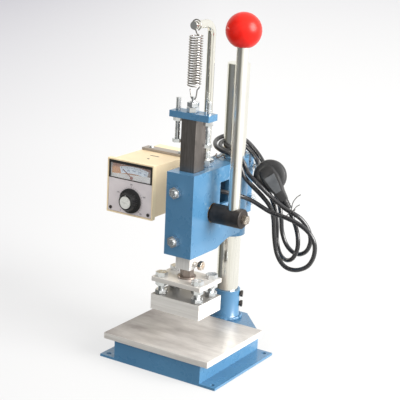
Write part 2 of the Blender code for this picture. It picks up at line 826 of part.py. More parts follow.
# Lever ----------------------------------------------------------------------------------
def gear_outline():
    """Involute stub-tooth pinion, with a tooth space facing the rack."""
    base_r = PITCH_R * math.cos(PRESSURE_ANGLE)
    tip_r = PITCH_R + ADDENDUM
    root_r = PITCH_R - DEDENDUM - 0.0001

    def involute(radius):
        slope = math.sqrt(max((radius / base_r) ** 2 - 1.0, 0.0))
        return slope - math.atan(slope)

    half_pitch_angle = math.pi / (2 * PINION_TEETH) - BACKLASH / (2 * PITCH_R)
    radii = [root_r, base_r]
    radii += [base_r + (tip_r - base_r) * share for share in (0.25, 0.5, 0.75, 1.0)]
    half_angles = [half_pitch_angle + involute(PITCH_R) - involute(radius) for radius in radii]
    points = []
    for tooth in range(PINION_TEETH):
        centre = math.pi + 2 * math.pi * (tooth + 0.5) / PINION_TEETH
        flank = list(zip(radii, half_angles))
        sides = [(r, centre - a) for r, a in flank] + [(r, centre + a) for r, a in flank[::-1]]
        points += [(r * math.cos(angle), r * math.sin(angle)) for r, angle in sides]
    return points


def make_lever():
    """Pinion shaft through the head, the hub on its end, the lever and its ball."""
    axis_place = (0, PINION_Y, PINION_Z)
    half = HEAD_W / 2
    shaft_profile = [
        (0.0, 0.0400),
        (0.0065, 0.0400),
        (0.0070, 0.0394),
        (0.0070, -half - 0.0010),
        (0.0095, -half - 0.0010),
        (0.0095, -half - 0.0035),
        (0.0085, -half - 0.0045),
        (0.0, -half - 0.0045),
    ]
    shaft = turned("pinion_shaft", "dark_steel", shaft_profile, axis_place, "x", 40)
    pinion = outline_solid("pinion", "dark_steel", gear_outline(), 0.018, axis_place, "yz")
    join(shaft, pinion)

    hub_profile = [
        (0.0, HUB_RIGHT),
        (HUB_R - 0.0008, HUB_RIGHT),
        (HUB_R, HUB_RIGHT - 0.0008),
        (HUB_R, HUB_LEFT + 0.0008),
        (HUB_R - 0.0008, HUB_LEFT),
        (0.0, HUB_LEFT),
    ]
    hub = turned("lever_hub", "black_oxide", hub_profile, axis_place, "x", 40)
    drill(hub, 0.0070 + GAP, (HUB_LEFT - 0.01, PINION_Y, PINION_Z), 0.0404, "x", 32)
    drill(hub, LEVER_R + GAP, (LEVER_X, PINION_Y, PINION_Z + 0.0090), PINION_Z + 0.02, "z", 32)
    drill(hub, 0.0053, (LEVER_X, PINION_Y, PINION_Z - 0.0010), PINION_Z + 0.02, "z", 24)
    drill(hub, 0.0033, (0.0560, PINION_Y, PINION_Z), HUB_RIGHT + 0.01, "x", 20)

    bolt = cylinder(
        "hub_bolt", "zinc", 0.0030, (0.0562, PINION_Y, PINION_Z), HUB_RIGHT + 0.003, "x", 20
    )
    bolt_head = hexagon(
        "hub_bolt_head",
        "zinc",
        0.010,
        (HUB_RIGHT + GAP, PINION_Y, PINION_Z),
        HUB_RIGHT + 0.0060,
        "x",
    )
    join(bolt, bolt_head)

    grip_end = PINION_Z + LEVER_LENGTH - 0.0190
    lever_profile = [
        (0.0, grip_end + 0.0130),
        (0.0050, grip_end + 0.0130),
        (0.0050, grip_end),
        (LEVER_R, grip_end),
        (LEVER_R, PINION_Z + 0.0095),
        (0.0050, PINION_Z + 0.0095),
        (0.0050, PINION_Z),
        (0.0, PINION_Z),
    ]
    lever = turned("lever_rod", "polished_steel", lever_profile, (LEVER_X, PINION_Y, 0), sides=32)

    ball_place = Vector((LEVER_X, PINION_Y, PINION_Z + LEVER_LENGTH))
    bm = bmesh.new()
    bmesh.ops.create_uvsphere(bm, u_segments=32, v_segments=16, radius=BALL_R)
    mesh = mesh_from_bmesh("ball_knob", bm)
    ball = finish_mesh("ball_knob", mesh, "red_plastic", ball_place, True)
    flat = grip_end + GAP
    trim = box(
        "ball_flat",
        "red_plastic",
        (LEVER_X - 0.02, PINION_Y - 0.02, flat - 0.02),
        (LEVER_X + 0.02, PINION_Y + 0.02, flat),
    )
    cut(ball, trim)
    drill(ball, 0.0053, (LEVER_X, PINION_Y, flat - 0.01), flat + 0.0134, "z", 24)
    return [shaft, hub, bolt, lever, ball]


# Controller -----------------------------------------------------------------------------
PANEL_LEFT = PANEL_X - PANEL / 2
PANEL_RIGHT = PANEL_X + PANEL / 2
PANEL_LOW = PANEL_Z - PANEL / 2
PANEL_HIGH = PANEL_Z + PANEL / 2
RIM = 0.0020
WINDOW_H = 0.0235
CASE_FRONT = PANEL_FRONT + BEZEL_T + GAP
CASE_BACK = CASE_FRONT + CASE_D
NEEDLE_PIVOT = Vector((PANEL_X, PANEL_FRONT + 0.0031, PANEL_HIGH - RIM - WINDOW_H + 0.0030))
NEEDLE_REST = math.radians(35)


def square_about(half, y_low, y_high):
    """Corners of a block centred on the panel's axis."""
    low = (PANEL_X - half, y_low, PANEL_Z - half)
    high = (PANEL_X + half, y_high, PANEL_Z + half)
    return low, high


def make_controller():
    """Case, front frame, panel, meter and terminals of the temperature controller."""
    half = CASE / 2
    case = box("controller_case", "beige_plastic", *square_about(half, CASE_FRONT, CASE_BACK))
    inner = half - CASE_WALL
    room = square_about(inner, CASE_FRONT - 0.01, CASE_BACK - CASE_WALL)
    cut(case, box("case_room", "beige_plastic", *room))

    bezel = box(
        "controller_bezel",
        "beige_plastic",
        *square_about(PANEL / 2, PANEL_FRONT, PANEL_FRONT + BEZEL_T),
    )
    opening = square_about(PANEL / 2 - RIM, PANEL_FRONT - 0.01, PANEL_FRONT + BEZEL_T - 0.0020)
    cut(bezel, box("bezel_opening", "beige_plastic", *opening))
    ease(bezel, 0.0004)

    left = PANEL_LEFT + RIM + GAP
    right = PANEL_RIGHT - RIM - GAP
    window_low = PANEL_HIGH - RIM - WINDOW_H
    floor = PANEL_FRONT + BEZEL_T - 0.0020 - GAP
    panel = box(
        "front_panel",
        "panel_grey",
        (left, PANEL_FRONT + 0.0006, PANEL_LOW + RIM + GAP),
        (right, floor, window_low - GAP),
    )
    window = box(
        "meter_window",
        "clear_plastic",
        (left, PANEL_FRONT + 0.0008, window_low),
        (right, PANEL_FRONT + 0.0020, PANEL_HIGH - RIM - GAP),
    )
    scale = box(
        "meter_scale",
        "dial_white",
        (left, floor - 0.0006, window_low),
        (right, floor, PANEL_HIGH - RIM - GAP),
    )
    pieces = [case, bezel, panel, window, scale]

    for name, side in (("panel_screw_left", -1), ("panel_screw_right", 1)):
        x = PANEL_X + side * 0.0295
        z = PANEL_LOW + 0.0065
        drill(panel, 0.0013, (x, PANEL_FRONT - 0.001, z), PANEL_FRONT + 0.0040, "y", 16)
        screw = cylinder(
            name, "black_oxide", 0.0010, (x, PANEL_FRONT - 0.0002, z), PANEL_FRONT + 0.0036, "y", 16
        )
        cap_place = (x, PANEL_FRONT - 0.0008, z)
        cap = cylinder(name + "_cap", "black_oxide", 0.0022, cap_place, PANEL_FRONT + 0.0003, "y", 20)
        join(screw, cap)
        pieces.append(screw)

    place = (KNOB_X, PANEL_FRONT - 0.01, KNOB_Z)
    drill(panel, 0.0035, place, floor + 0.001, "y", 20)
    drill(bezel, 0.0035, place, PANEL_FRONT + BEZEL_T + 0.01, "y", 20)
    pieces.append(make_terminal_block())
    return pieces


def make_terminal_block():
    """Screw-terminal moulding on the back of the case."""
    block = box(
        "terminal_block",
        "black_plastic",
        (PANEL_X - 0.028, CASE_BACK + GAP, PANEL_Z + 0.004),
        (PANEL_X + 0.028, CASE_BACK + 0.009, PANEL_Z + 0.028),
    )
    for index in range(6):
        x = PANEL_X - 0.0225 + index * 0.009
        slot = box(
            "terminal_slot",
            "black_plastic",
            (x - 0.0033, CASE_BACK + 0.0045, PANEL_Z + 0.001),
            (x + 0.0033, CASE_BACK + 0.012, PANEL_Z + 0.021),
        )
        cut(block, slot)
    return block


def make_knob():
    """Temperature knob and its bright cap."""
    seat = PANEL_FRONT
    knob_profile = [
        (0.0, 0.0120),
        (0.0096, 0.0120),
        (0.0106, 0.0112),
        (0.0128, 0.0034),
        (0.0164, 0.0022),
        (0.0164, 0.0004),
        (0.0, 0.0004),
    ]
    place = (KNOB_X, seat, KNOB_Z)
    knob = turned("set_knob", "black_plastic", knob_profile, place, "y", 36)
    knob.rotation_euler = (math.radians(90), 0, 0)
    root = (KNOB_X, seat - 0.0010, KNOB_Z)
    stem = cylinder("knob_stem", "black_plastic", 0.0030, root, seat + 0.0090, "y", 20)
    join(knob, stem)
    drill(knob, 0.0084, (KNOB_X, seat - 0.0125, KNOB_Z), seat - 0.0108, "y", 32)
    cap = cylinder(
        "knob_cap", "aluminium", 0.0081, (KNOB_X, seat - 0.0111, KNOB_Z), seat - 0.0126, "y", 32
    )
    return [knob, cap]


def make_needle():
    """Meter pointer, which turns just in front of the scale."""
    blade = box(
        "meter_needle",
        "red_plastic",
        NEEDLE_PIVOT + Vector((-0.0165, -0.0003, -0.0004)),
        NEEDLE_PIVOT + Vector((0.0, 0.0003, 0.0004)),
    )
    rest = Matrix.Rotation(NEEDLE_REST, 4, "Y")
    about = Matrix.Translation(NEEDLE_PIVOT) @ rest @ Matrix.Translation(-NEEDLE_PIVOT)
    blade.matrix_basis = about @ blade.matrix_basis
    boss = cylinder(
        "needle_boss",
        "red_plastic",
        0.0020,
        NEEDLE_PIVOT - Vector((0, 0.0006, 0)),
        NEEDLE_PIVOT.y + 0.0006,
        "y",
        16,
    )
    join(blade, boss)
    return blade


def make_bracket():
    """Dog-leg strap over the controller, with a tab bolted against the clamp's ear."""
    top = PANEL_Z + CASE / 2 + GAP
    outline = [
        (PANEL_X - 0.0335, 0.0165),
        (-0.0225, 0.0165),
        (-0.0225, 0.0375),
        (BRACKET_TAB_LEFT + 0.001, 0.0375),
        (BRACKET_TAB_LEFT + 0.001, 0.0500),
        (-0.0375, 0.0500),
        (-0.0375, 0.0315),
        (PANEL_X - 0.0335, 0.0315),
    ]
    bar = outline_solid(
        "controller_bracket", "zinc", outline, BRACKET_T, (0, 0, top + BRACKET_T / 2), "xy"
    )
    tab = box(
        "bracket_tab",
        "zinc",
        (BRACKET_TAB_LEFT, 0.0185, CLAMP_BOLT_Z[1] - 0.0095),
        (BRACKET_TAB_LEFT + BRACKET_T, 0.0495, CLAMP_BOLT_Z[1] + 0.0095),
    )
    join(bar, tab)
    reach = (BRACKET_TAB_LEFT - 0.002, CLAMP_BOLT_Y, CLAMP_BOLT_Z[1])
    drill(bar, 0.0043, reach, BRACKET_TAB_LEFT + 0.005, "x", 24)
    pieces = [bar]
    for name, x in (("bracket_screw_left", -0.1420), ("bracket_screw_right", -0.0960)):
        drill(bar, 0.0018, (x, 0.0240, top - 0.01), top + 0.01, "z", 16)
        drill(
            bpy.data.objects["controller_case"],
            0.0018,
            (x, 0.0240, top - 0.006),
            top + 0.002,
            "z",
            16,
        )
        screw = cylinder(name, "zinc", 0.0015, (x, 0.0240, top - 0.0042), top + 0.004, "z", 16)
        cap = cylinder(
            name + "_cap",
            "zinc",
            0.0035,
            (x, 0.0240, top + BRACKET_T + GAP),
            top + BRACKET_T + 0.0022,
            "z",
            20,
            top_radius=0.0022,
        )
        join(screw, cap)
        pieces.append(screw)
    return pieces


# Mains lead -----------------------------------------------------------------------------
CORD_R = 0.0028
GLAND_Z = 0.165
PLUG_CENTRE = Vector((0.0573, -0.0080, 0.2260))
PLUG_TAIL = Vector((0.0865, -0.0070, 0.1893))
PLUG_R = 0.0205
PIN_R = 0.0024
PIN_GAP = 0.0190

# Hand-laid route in millimetres: out of the case, through the head's side openings, then
# three hanging loops whose upper ends pass round the column.
LEAD = (
    (-119.0, 62.0, 165.0),
    (-119.0, 76.0, 165.0),
    (-118.2, 88.6, 165.0),
    (-114.3, 100.3, 164.9),
    (-105.5, 109.1, 165.4),
    (-93.9, 112.6, 166.9),
    (-82.5, 109.9, 169.1),
    (-73.3, 101.1, 172.0),
    (-66.0, 86.0, 175.5),
    (-59.5, 58.0, 182.0),
    (-54.0, 24.0, 190.0),
    (-47.0, -12.0, 198.0),
    (-33.9, -37.1, 204.0),
    (-12.7, -49.8, 207.3),
    (4.1, -52.7, 207.4),
    (18.7, -46.5, 206.2),
)
OUTER_LOOP = (
    (40.5, -26.8, 197.1),
    (67.5, -21.0, 185.0),
    (90.0, -20.0, 181.5),
    (107.5, -19.0, 176.5),
    (122.0, -18.0, 167.5),
    (129.0, -16.0, 154.0),
    (127.0, -13.0, 137.0),
    (118.0, -11.0, 122.5),
    (102.0, -10.0, 114.4),
    (86.5, -9.7, 115.9),
    (74.0, -7.2, 127.6),
    (69.0, -8.1, 148.5),
    (67.0, -10.0, 173.5),
    (63.5, -14.0, 189.0),
    (53.0, -16.6, 201.2),
    (37.2, -20.5, 215.0),
)
OUTER_TURN = (
    (31.0, -25.2, 223.8),
    (28.0, -27.2, 231.7),
    (25.1, -27.1, 238.3),
    (21.0, -27.1, 243.6),
    (15.6, -27.4, 247.6),
    (8.4, -28.0, 250.1),
    (-3.5, -27.0, 251.9),
    (-16.1, -19.6, 254.7),
    (-23.5, -6.4, 257.8),
    (-22.9, 8.9, 260.5),
    (-14.8, 20.6, 261.1),
    (-1.7, 28.6, 255.9),
    (11.3, 31.9, 244.8),
    (25.0, 27.8, 234.0),
)
MIDDLE_LOOP = (
    (36.9, 24.2, 217.4),
    (52.0, 17.0, 199.9),
    (63.8, 9.4, 186.6),
    (68.7, 7.4, 170.1),
    (69.3, 10.7, 152.5),
    (76.1, 10.5, 137.8),
    (87.5, 7.8, 130.5),
    (100.0, 4.0, 131.0),
    (111.2, 0.3, 139.5),
    (116.2, -2.3, 153.5),
    (113.3, -4.5, 167.7),
    (105.9, -8.9, 179.5),
    (97.5, -13.0, 186.0),
    (85.5, -15.9, 191.5),
    (68.3, -20.1, 203.2),
    (51.6, -26.0, 218.2),
    (36.7, -23.0, 226.7),
)
INNER_TURN = (
    (30.3, -20.5, 232.4),
    (25.8, -19.4, 239.2),
    (20.5, -19.8, 244.9),
    (14.0, -21.0, 248.7),
    (5.7, -21.9, 250.6),
    (-3.8, -19.9, 251.5),
    (-12.1, -14.1, 253.1),
    (-17.2, -4.9, 255.1),
    (-17.6, 6.3, 256.5),
    (-12.7, 17.1, 255.7),
    (-3.6, 24.5, 251.4),
    (8.7, 26.3, 243.4),
    (20.7, 22.5, 233.8),
)
INNER_LOOP = (
    (28.3, 18.6, 221.0),
    (42.1, 15.8, 201.5),
    (55.4, 11.3, 183.2),
    (59.3, 14.1, 160.3),
    (61.0, 14.0, 138.9),
    (69.6, 7.5, 124.9),
    (82.6, 0.0, 120.9),
    (94.9, -5.9, 126.8),
    (102.9, -10.2, 141.8),
    (102.6, -10.1, 156.2),
    (96.7, -6.4, 168.5),
    (90.5, -6.0, 179.5),
    (87.2, -6.9, 187.6),
)


def make_gland():
    """Tapered strain relief on the back of the case, where the lead comes out."""
    bore = CORD_R + 0.0004
    profile = [
        (0.0040, CASE_BACK + 0.0240),
        (0.0058, CASE_BACK + 0.0050),
        (0.0078, CASE_BACK + 0.0040),
        (0.0078, CASE_BACK + GAP),
        (0.0055, CASE_BACK + GAP),
        (0.0055, CASE_BACK - 0.0040),
        (bore, CASE_BACK - 0.0040),
        (bore, CASE_BACK + 0.0240),
    ]
    gland = turned("cord_gland", "rubber", profile, (PANEL_X, 0, GLAND_Z), "y", 24)
    case = bpy.data.objects["controller_case"]
    drill(case, 0.0058, (PANEL_X, CASE_BACK - 0.004, GLAND_Z), CASE_BACK + 0.002, "y", 24)
    return gland


def make_cord():
    route = LEAD + OUTER_LOOP + OUTER_TURN + MIDDLE_LOOP + INNER_TURN + INNER_LOOP
    points = [Vector(place) / 1000 for place in route]
    return tube("power_cord", "rubber", points, CORD_R)


def make_plug():
    """Two-pin plug: a round head, a tapering grip and the cord's outlet at its end."""
    along = (PLUG_TAIL - PLUG_CENTRE).normalized()
    pins = Vector((-0.50, 0.86, 0.0))
    pins = (pins - along * pins.dot(along)).normalized()
    across = pins.cross(along)
    turn = Matrix((along, across, pins)).transposed().to_4x4()
    stand = Matrix.Translation(PLUG_CENTRE) @ turn
    length = (PLUG_TAIL - PLUG_CENTRE).length

    head = cylinder("mains_plug", "rubber", PLUG_R, (0, 0, -0.0055), 0.0070, "z", 40)
    grip_outline = [
        (-0.0130, -0.0110),
        (0.0080, -0.0135),
        (0.0300, -0.0080),
        (length - 0.0060, -0.0052),
        (length - 0.0060, 0.0052),
        (0.0300, 0.0080),
        (0.0080, 0.0135),
        (-0.0130, 0.0110),
    ]
    grip = outline_solid("plug_grip", "rubber", grip_outline, 0.0092, (0, 0, -0.0004), "xy")
    pad_outline = [
        (-0.0140, -0.0095),
        (0.0020, -0.0120),
        (0.0140, -0.0095),
        (0.0140, 0.0095),
        (0.0020, 0.0120),
        (-0.0140, 0.0095),
    ]
    pad = outline_solid("plug_pad", "rubber", pad_outline, 0.0060, (0, 0, -0.0075), "xy")
    outlet = cylinder(
        "plug_outlet", "rubber", 0.0058, (length - 0.0200, 0, -0.0005), length, "x", 24, 0.0042
    )
    for piece in (head, grip, pad, outlet):
        piece.matrix_basis = stand @ piece.matrix_basis
    join(head, grip, pad, outlet)
    ease(head, 0.0008)

    pieces = [head]
    for name, side in (("plug_pin_left", -1), ("plug_pin_right", 1)):
        pin = cylinder(name, "brass", PIN_R, (0, side * PIN_GAP / 2, 0.0070 + GAP), 0.0260, "z", 16)
        pin.matrix_basis = stand @ pin.matrix_basis
        pieces.append(pin)
    return pieces


def make_tie():
    """Twist of wire that holds the loops together below the plug."""
    centre = Vector((0.0907, -0.0103, 0.1863))
    normal = Vector((0.68, 0.17, -0.71)).normalized()
    wide = Vector((0.42, -0.81, 0.39))
    wide = (wide - normal * wide.dot(normal)).normalized()
    narrow = normal.cross(wide)
    points = [Vector((0.1037, -0.0125, 0.2120)), Vector((0.0975, -0.0175, 0.2040))]
    points.append(Vector((0.0965, -0.0195, 0.1965)))
    for step in range(17):
        angle = math.radians(12 + 336 * step / 16)
        drift = normal * (0.0016 * (step / 16 - 0.5))
        side = wide * (0.0102 * math.cos(angle)) + narrow * (0.0062 * math.sin(angle))
        points.append(centre + side + drift)
    points += [Vector((0.0985, -0.0190, 0.1925)), Vector((0.1040, -0.0140, 0.1995))]
    return tube("cord_tie", "zinc", points, 0.0004)


# Assembly -------------------------------------------------------------------------------
def main():
    make_base()
    head_axis = body_axis("head_axis", (0, 0, HEAD_BOTTOM))
    ram_axis = body_axis("ram_axis", (0, STAMP_Y, RAM_BOTTOM))
    lever_axis = body_axis("lever_axis", (0, PINION_Y, PINION_Z))
    knob_axis = body_axis("knob_axis", (KNOB_X, PANEL_FRONT, KNOB_Z))
    needle_axis = body_axis("needle_axis", NEEDLE_PIVOT)

    head = [make_housing(), *make_guides(), *make_gib_screws(), *make_clamp_bolts()]
    head += [*make_bushes(), *make_hanger(), make_return_spring()]
    head += [*make_controller(), *make_bracket()]
    head += [make_gland(), make_cord(), *make_plug(), make_tie()]
    carry(head_axis, *head)
    carry(ram_axis, *make_ram())
    carry(lever_axis, *make_lever())
    carry(knob_axis, *make_knob())
    carry(needle_axis, make_needle())


main()
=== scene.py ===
"""Finishes, fine detail, mains lead, light and camera for the hot foil stamper.

Metres, +Z up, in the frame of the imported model. The stamping head works towards -Y.
"""

import math

import bmesh
import bpy
from mathutils import Matrix, Vector


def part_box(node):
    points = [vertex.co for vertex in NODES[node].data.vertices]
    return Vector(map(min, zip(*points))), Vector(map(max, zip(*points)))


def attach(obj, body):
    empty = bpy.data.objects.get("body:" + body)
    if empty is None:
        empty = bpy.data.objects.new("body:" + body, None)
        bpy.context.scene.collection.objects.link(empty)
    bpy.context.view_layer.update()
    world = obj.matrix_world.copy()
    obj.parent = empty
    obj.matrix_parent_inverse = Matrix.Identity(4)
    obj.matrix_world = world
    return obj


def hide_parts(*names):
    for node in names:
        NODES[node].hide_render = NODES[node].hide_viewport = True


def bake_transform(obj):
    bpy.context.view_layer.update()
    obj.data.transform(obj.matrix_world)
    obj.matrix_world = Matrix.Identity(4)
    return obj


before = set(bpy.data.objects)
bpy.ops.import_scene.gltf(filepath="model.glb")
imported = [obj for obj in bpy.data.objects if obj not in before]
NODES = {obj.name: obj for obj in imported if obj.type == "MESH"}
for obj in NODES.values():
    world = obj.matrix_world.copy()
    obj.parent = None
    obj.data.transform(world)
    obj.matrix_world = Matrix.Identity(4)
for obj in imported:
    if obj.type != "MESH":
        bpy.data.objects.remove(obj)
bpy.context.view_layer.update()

X_AXIS = Vector((1, 0, 0))
Y_AXIS = Vector((0, 1, 0))
Z_AXIS = Vector((0, 0, 1))

# The camera: degrees, then metres, then millimetres for its lens
CAMERA_AZIMUTH = 31.897
CAMERA_ELEVATION = 15.731
CAMERA_ROLL = 2.735
CAMERA_TARGET = Vector((0.013761, -0.098, 0.206262))
CAMERA_DISTANCE = 1.45995
LENS = 110.28
SENSOR = 36.0

# The room: it is bright to the right of the camera and dim to its left
BRIGHT_SIDE = (0.574, 0.819, 0.0)
ROOM_TONES = (
    (0.0, (0.24, 0.25, 0.26)),
    (0.10, (0.13, 0.13, 0.11)),
    (0.20, (0.07, 0.07, 0.045)),
    (0.24, (0.88, 0.87, 0.81)),
    (1.0, (1.06, 1.055, 1.03)),
)


def centre(node):
    low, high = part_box(node)
    return (low + high) / 2


def link(obj):
    bpy.context.scene.collection.objects.link(obj)
    return obj


# Camera, floor and light ----------------------------------------------------------------
def make_camera():
    azimuth = math.radians(CAMERA_AZIMUTH)
    elevation = math.radians(CAMERA_ELEVATION)
    roll = math.radians(CAMERA_ROLL)
    flat = math.cos(elevation)
    back = Vector((math.sin(azimuth) * flat, -math.cos(azimuth) * flat, math.sin(elevation)))
    level = Z_AXIS.cross(back).normalized()
    up = back.cross(level)
    right = math.cos(roll) * level + math.sin(roll) * up
    top = -math.sin(roll) * level + math.cos(roll) * up
    data = bpy.data.cameras.new("camera")
    data.sensor_width = SENSOR
    data.lens = LENS
    data.clip_end = 60.0
    camera = bpy.data.objects.new("camera", data)
    camera.matrix_world = Matrix.Translation(CAMERA_TARGET + back * CAMERA_DISTANCE) @ (
        Matrix((right, top, back)).transposed().to_4x4()
    )
    bpy.context.scene.camera = link(camera)


def broad_light(name, direction, spread, strength, colour):
    """A distant soft source; direction is towards it, spread is its width in degrees."""
    data = bpy.data.lights.new(name, "SUN")
    data.angle = math.radians(spread)
    data.energy = strength
    data.color = colour
    light = bpy.data.objects.new(name, data)
    light.location = Vector(direction) * 2.0
    light.rotation_euler = (-light.location).to_track_quat("-Z", "Y").to_euler()
    return link(light)


def make_world():
    world = bpy.data.worlds.new("studio")
    world.use_nodes = True
    bpy.context.scene.world = world
    tree = world.node_tree
    coord = tree.nodes.new("ShaderNodeTexCoord")
    dot = tree.nodes.new("ShaderNodeVectorMath")
    dot.operation = "DOT_PRODUCT"
    dot.inputs[1].default_value = BRIGHT_SIDE
    tree.links.new(coord.outputs["Generated"], dot.inputs[0])
    level = tree.nodes.new("ShaderNodeMapRange")
    level.inputs["From Min"].default_value = -1.0
    tree.links.new(dot.outputs["Value"], level.inputs["Value"])
    ramp = tree.nodes.new("ShaderNodeValToRGB")
    stops = ramp.color_ramp.elements
    while len(stops) < len(ROOM_TONES):
        stops.new(0.5)
    for stop, (position, colour) in zip(stops, ROOM_TONES):
        stop.position = position
        stop.color = (*colour, 1.0)
    tree.links.new(level.outputs["Result"], ramp.inputs["Fac"])
    tree.links.new(ramp.outputs["Color"], tree.nodes["Background"].inputs["Color"])


# Node materials -------------------------------------------------------------------------
class Finish:
    """One procedural material, with short calls for the nodes that its finish needs."""

    def __init__(self, name, metallic=0.0):
        self.material = bpy.data.materials.new(name + "_finish")
        self.material.use_nodes = True
        self.tree = self.material.node_tree
        self.shader = self.tree.nodes["Principled BSDF"]
        self.set("Metallic", metallic)
        self.coord = self.node("TexCoord").outputs["Object"]
        self.normal = None

    def feed(self, socket, value):
        if isinstance(value, bpy.types.NodeSocket):
            self.tree.links.new(value, socket)
        elif isinstance(value, tuple) and len(value) == 3 and len(socket.default_value) == 4:
            socket.default_value = (*value, 1.0)
        else:
            socket.default_value = value

    def node(self, kind, inputs=None, **settings):
        """A new shader node with its settings, and a value or a link for some inputs."""
        node = self.tree.nodes.new("ShaderNode" + kind)
        for name, value in settings.items():
            setattr(node, name, value)
        for key, value in (inputs or {}).items():
            self.feed(node.inputs[key], value)
        return node

    def set(self, name, value):
        self.feed(self.shader.inputs[name], value)

    def surface(self, colour, roughness):
        self.set("Base Color", colour)
        self.set("Roughness", roughness)

    def coat(self, weight, roughness):
        self.set("Coat Weight", weight)
        self.set("Coat Roughness", roughness)

    def math(self, operation, first, second=0.0):
        return self.node("Math", {0: first, 1: second}, operation=operation).outputs["Value"]

    def times(self, first, second):
        return self.math("MULTIPLY", first, second)

    def plus(self, first, second):
        return self.math("ADD", first, second)

    def spread(self, value, low, high, to_low=0.0, to_high=1.0):
        """Map a value from one range to another, clamped."""
        ends = {"From Min": low, "From Max": high, "To Min": to_low, "To Max": to_high}
        return self.node("MapRange", {"Value": value, **ends}).outputs["Result"]

    def mix(self, factor, first, second):
        inputs = {0: factor, 6: first, 7: second}
        return self.node("Mix", inputs, data_type="RGBA").outputs[2]

    def fade(self, value, low, high, first, second, most=1.0):
        """From the first colour towards the second as a value goes from low to high."""
        return self.mix(self.spread(value, low, high, 0.0, most), first, second)

    def scaled(self, scale, about=(0.0, 0.0, 0.0)):
        """Object coordinates from a point, stretched by a scale for each axis."""
        shift = self.node("VectorMath", {0: self.coord, 1: about}, operation="SUBTRACT")
        inputs = {0: shift.outputs["Vector"], 1: scale}
        return self.node("VectorMath", inputs, operation="MULTIPLY").outputs["Vector"]

    def noise(self, scale, detail=2.0, roughness=0.5, distortion=0.0):
        """Noise; scale is features per metre, one number or one for each axis."""
        scale = (scale,) * 3 if isinstance(scale, float) else scale
        inputs = {"Vector": self.scaled(scale), "Scale": 1.0, "Detail": detail}
        inputs |= {"Roughness": roughness, "Distortion": distortion}
        return self.node("TexNoise", inputs).outputs["Fac"]

    def rings(self, about, axis, spacing):
        """Fine concentric rings round an axis, as a lathe leaves them."""
        weights = tuple(0.0 if letter == axis else 1.0 / spacing for letter in "xyz")
        inputs = {0: self.scaled(weights, about)}
        length = self.node("VectorMath", inputs, operation="LENGTH").outputs["Value"]
        return self.math("SINE", self.times(length, 2 * math.pi))

    def place(self, axis):
        """How far along an axis a point of the surface is, in metres."""
        return self.node("SeparateXYZ", {0: self.coord}).outputs[axis]

    def facing_up(self):
        """1 on faces that look up, 0 on all others."""
        normal = self.node("NewGeometry").outputs["Normal"]
        return self.spread(self.node("SeparateXYZ", {0: normal}).outputs["Z"], 0.6, 0.9)

    def edges(self, low, high):
        """Where the surface turns a sharp outside corner."""
        return self.spread(self.node("NewGeometry").outputs["Pointiness"], low, high)

    def bump(self, height, depth, strength):
        """Add a bump layer; depth is in metres."""
        inputs = {"Height": height, "Distance": depth, "Strength": strength}
        if self.normal is not None:
            inputs["Normal"] = self.normal
        self.normal = self.node("Bump", inputs).outputs["Normal"]
        self.set("Normal", self.normal)


def enamel():
    """Sprayed blue enamel: slight orange peel, thin on the edges, a few rubs and specks."""
    f = Finish("blue_enamel")
    tone = f.fade(f.noise(14.0, 3.0), 0.3, 0.7, (0.050, 0.150, 0.275), (0.066, 0.182, 0.320))
    tone = f.fade(f.noise(620.0), 0.70, 0.78, tone, (0.20, 0.38, 0.56), 0.3)
    chip = f.times(f.edges(0.56, 0.66), f.spread(f.noise(240.0, 3.0), 0.52, 0.66))
    tone = f.mix(f.times(chip, 0.3), tone, (0.40, 0.50, 0.58))
    f.surface(tone, f.spread(f.noise(55.0, 4.0), 0.3, 0.7, 0.22, 0.40))
    f.coat(0.35, 0.12)
    f.bump(f.noise(520.0, 1.0), 0.00004, 0.5)
    f.bump(f.noise(90.0), 0.00010, 0.35)
    return f.material


def brushed(name, grain, colour, stain, roughness=(0.28, 0.46), darker_top_left=None, under_plate_shade=None):
    """Milled aluminium with a brushed grain; grain is the noise scale for each axis.

    Optional tones: one that a top face darkens to towards -X, and one of painted shade for a top
    face that lies under a plate.
    """
    f = Finish(name, 0.46)
    streak = f.noise(grain, 5.0, 0.65)
    cloud = f.noise(26.0, 4.0, 0.6)
    tone = f.fade(streak, 0.32, 0.68, stain, colour)
    tone = f.fade(cloud, 0.35, 0.75, tone, stain, 0.45)
    # optional darker tone on the top face towards -X, with blotches
    if darker_top_left:
        top = f.facing_up()
        place = f.plus(f.place("X"), f.times(f.noise((9.0, 28.0, 9.0), 3.0), 0.07))
        cover = f.times(f.spread(place, -0.07, 0.075, 0.9, 0.12), top)
        blot = f.spread(f.noise((16.0, 34.0, 20.0), 4.0, 0.6), 0.42, 0.68, 0.0, 0.35)
        tone = f.fade(f.plus(cover, f.times(blot, top)), 0.0, 1.0, tone, darker_top_left)
    if under_plate_shade:
        # painted shade: a top face is darkened as if shaded by the plate above it
        tone = f.mix(f.times(f.facing_up(), 0.85), tone, under_plate_shade)
    blend = f.plus(f.times(streak, 0.6), f.times(cloud, 0.4))
    f.surface(tone, f.spread(blend, 0.3, 0.7, *roughness))
    f.bump(streak, 0.00002, 0.6)
    f.bump(f.spread(f.noise(150.0, 3.0), 0.62, 0.72), 0.00003, 0.25)
    return f.material


def drawn_bar(name, colour, shade, roughness=(0.10, 0.24)):
    """Drawn and polished bar: faint lines along its length and a little dull staining."""
    f = Finish(name, 1.0)
    lines = f.noise((2600.0, 2600.0, 30.0), 3.0, 0.6)
    stain = f.noise((60.0, 60.0, 22.0), 4.0, 0.6)
    tone = f.fade(lines, 0.3, 0.7, shade, colour)
    tone = f.fade(stain, 0.55, 0.8, tone, shade, 0.35)
    f.surface(tone, f.spread(stain, 0.3, 0.75, *roughness))
    f.bump(lines, 0.000003, 0.3)
    return f.material


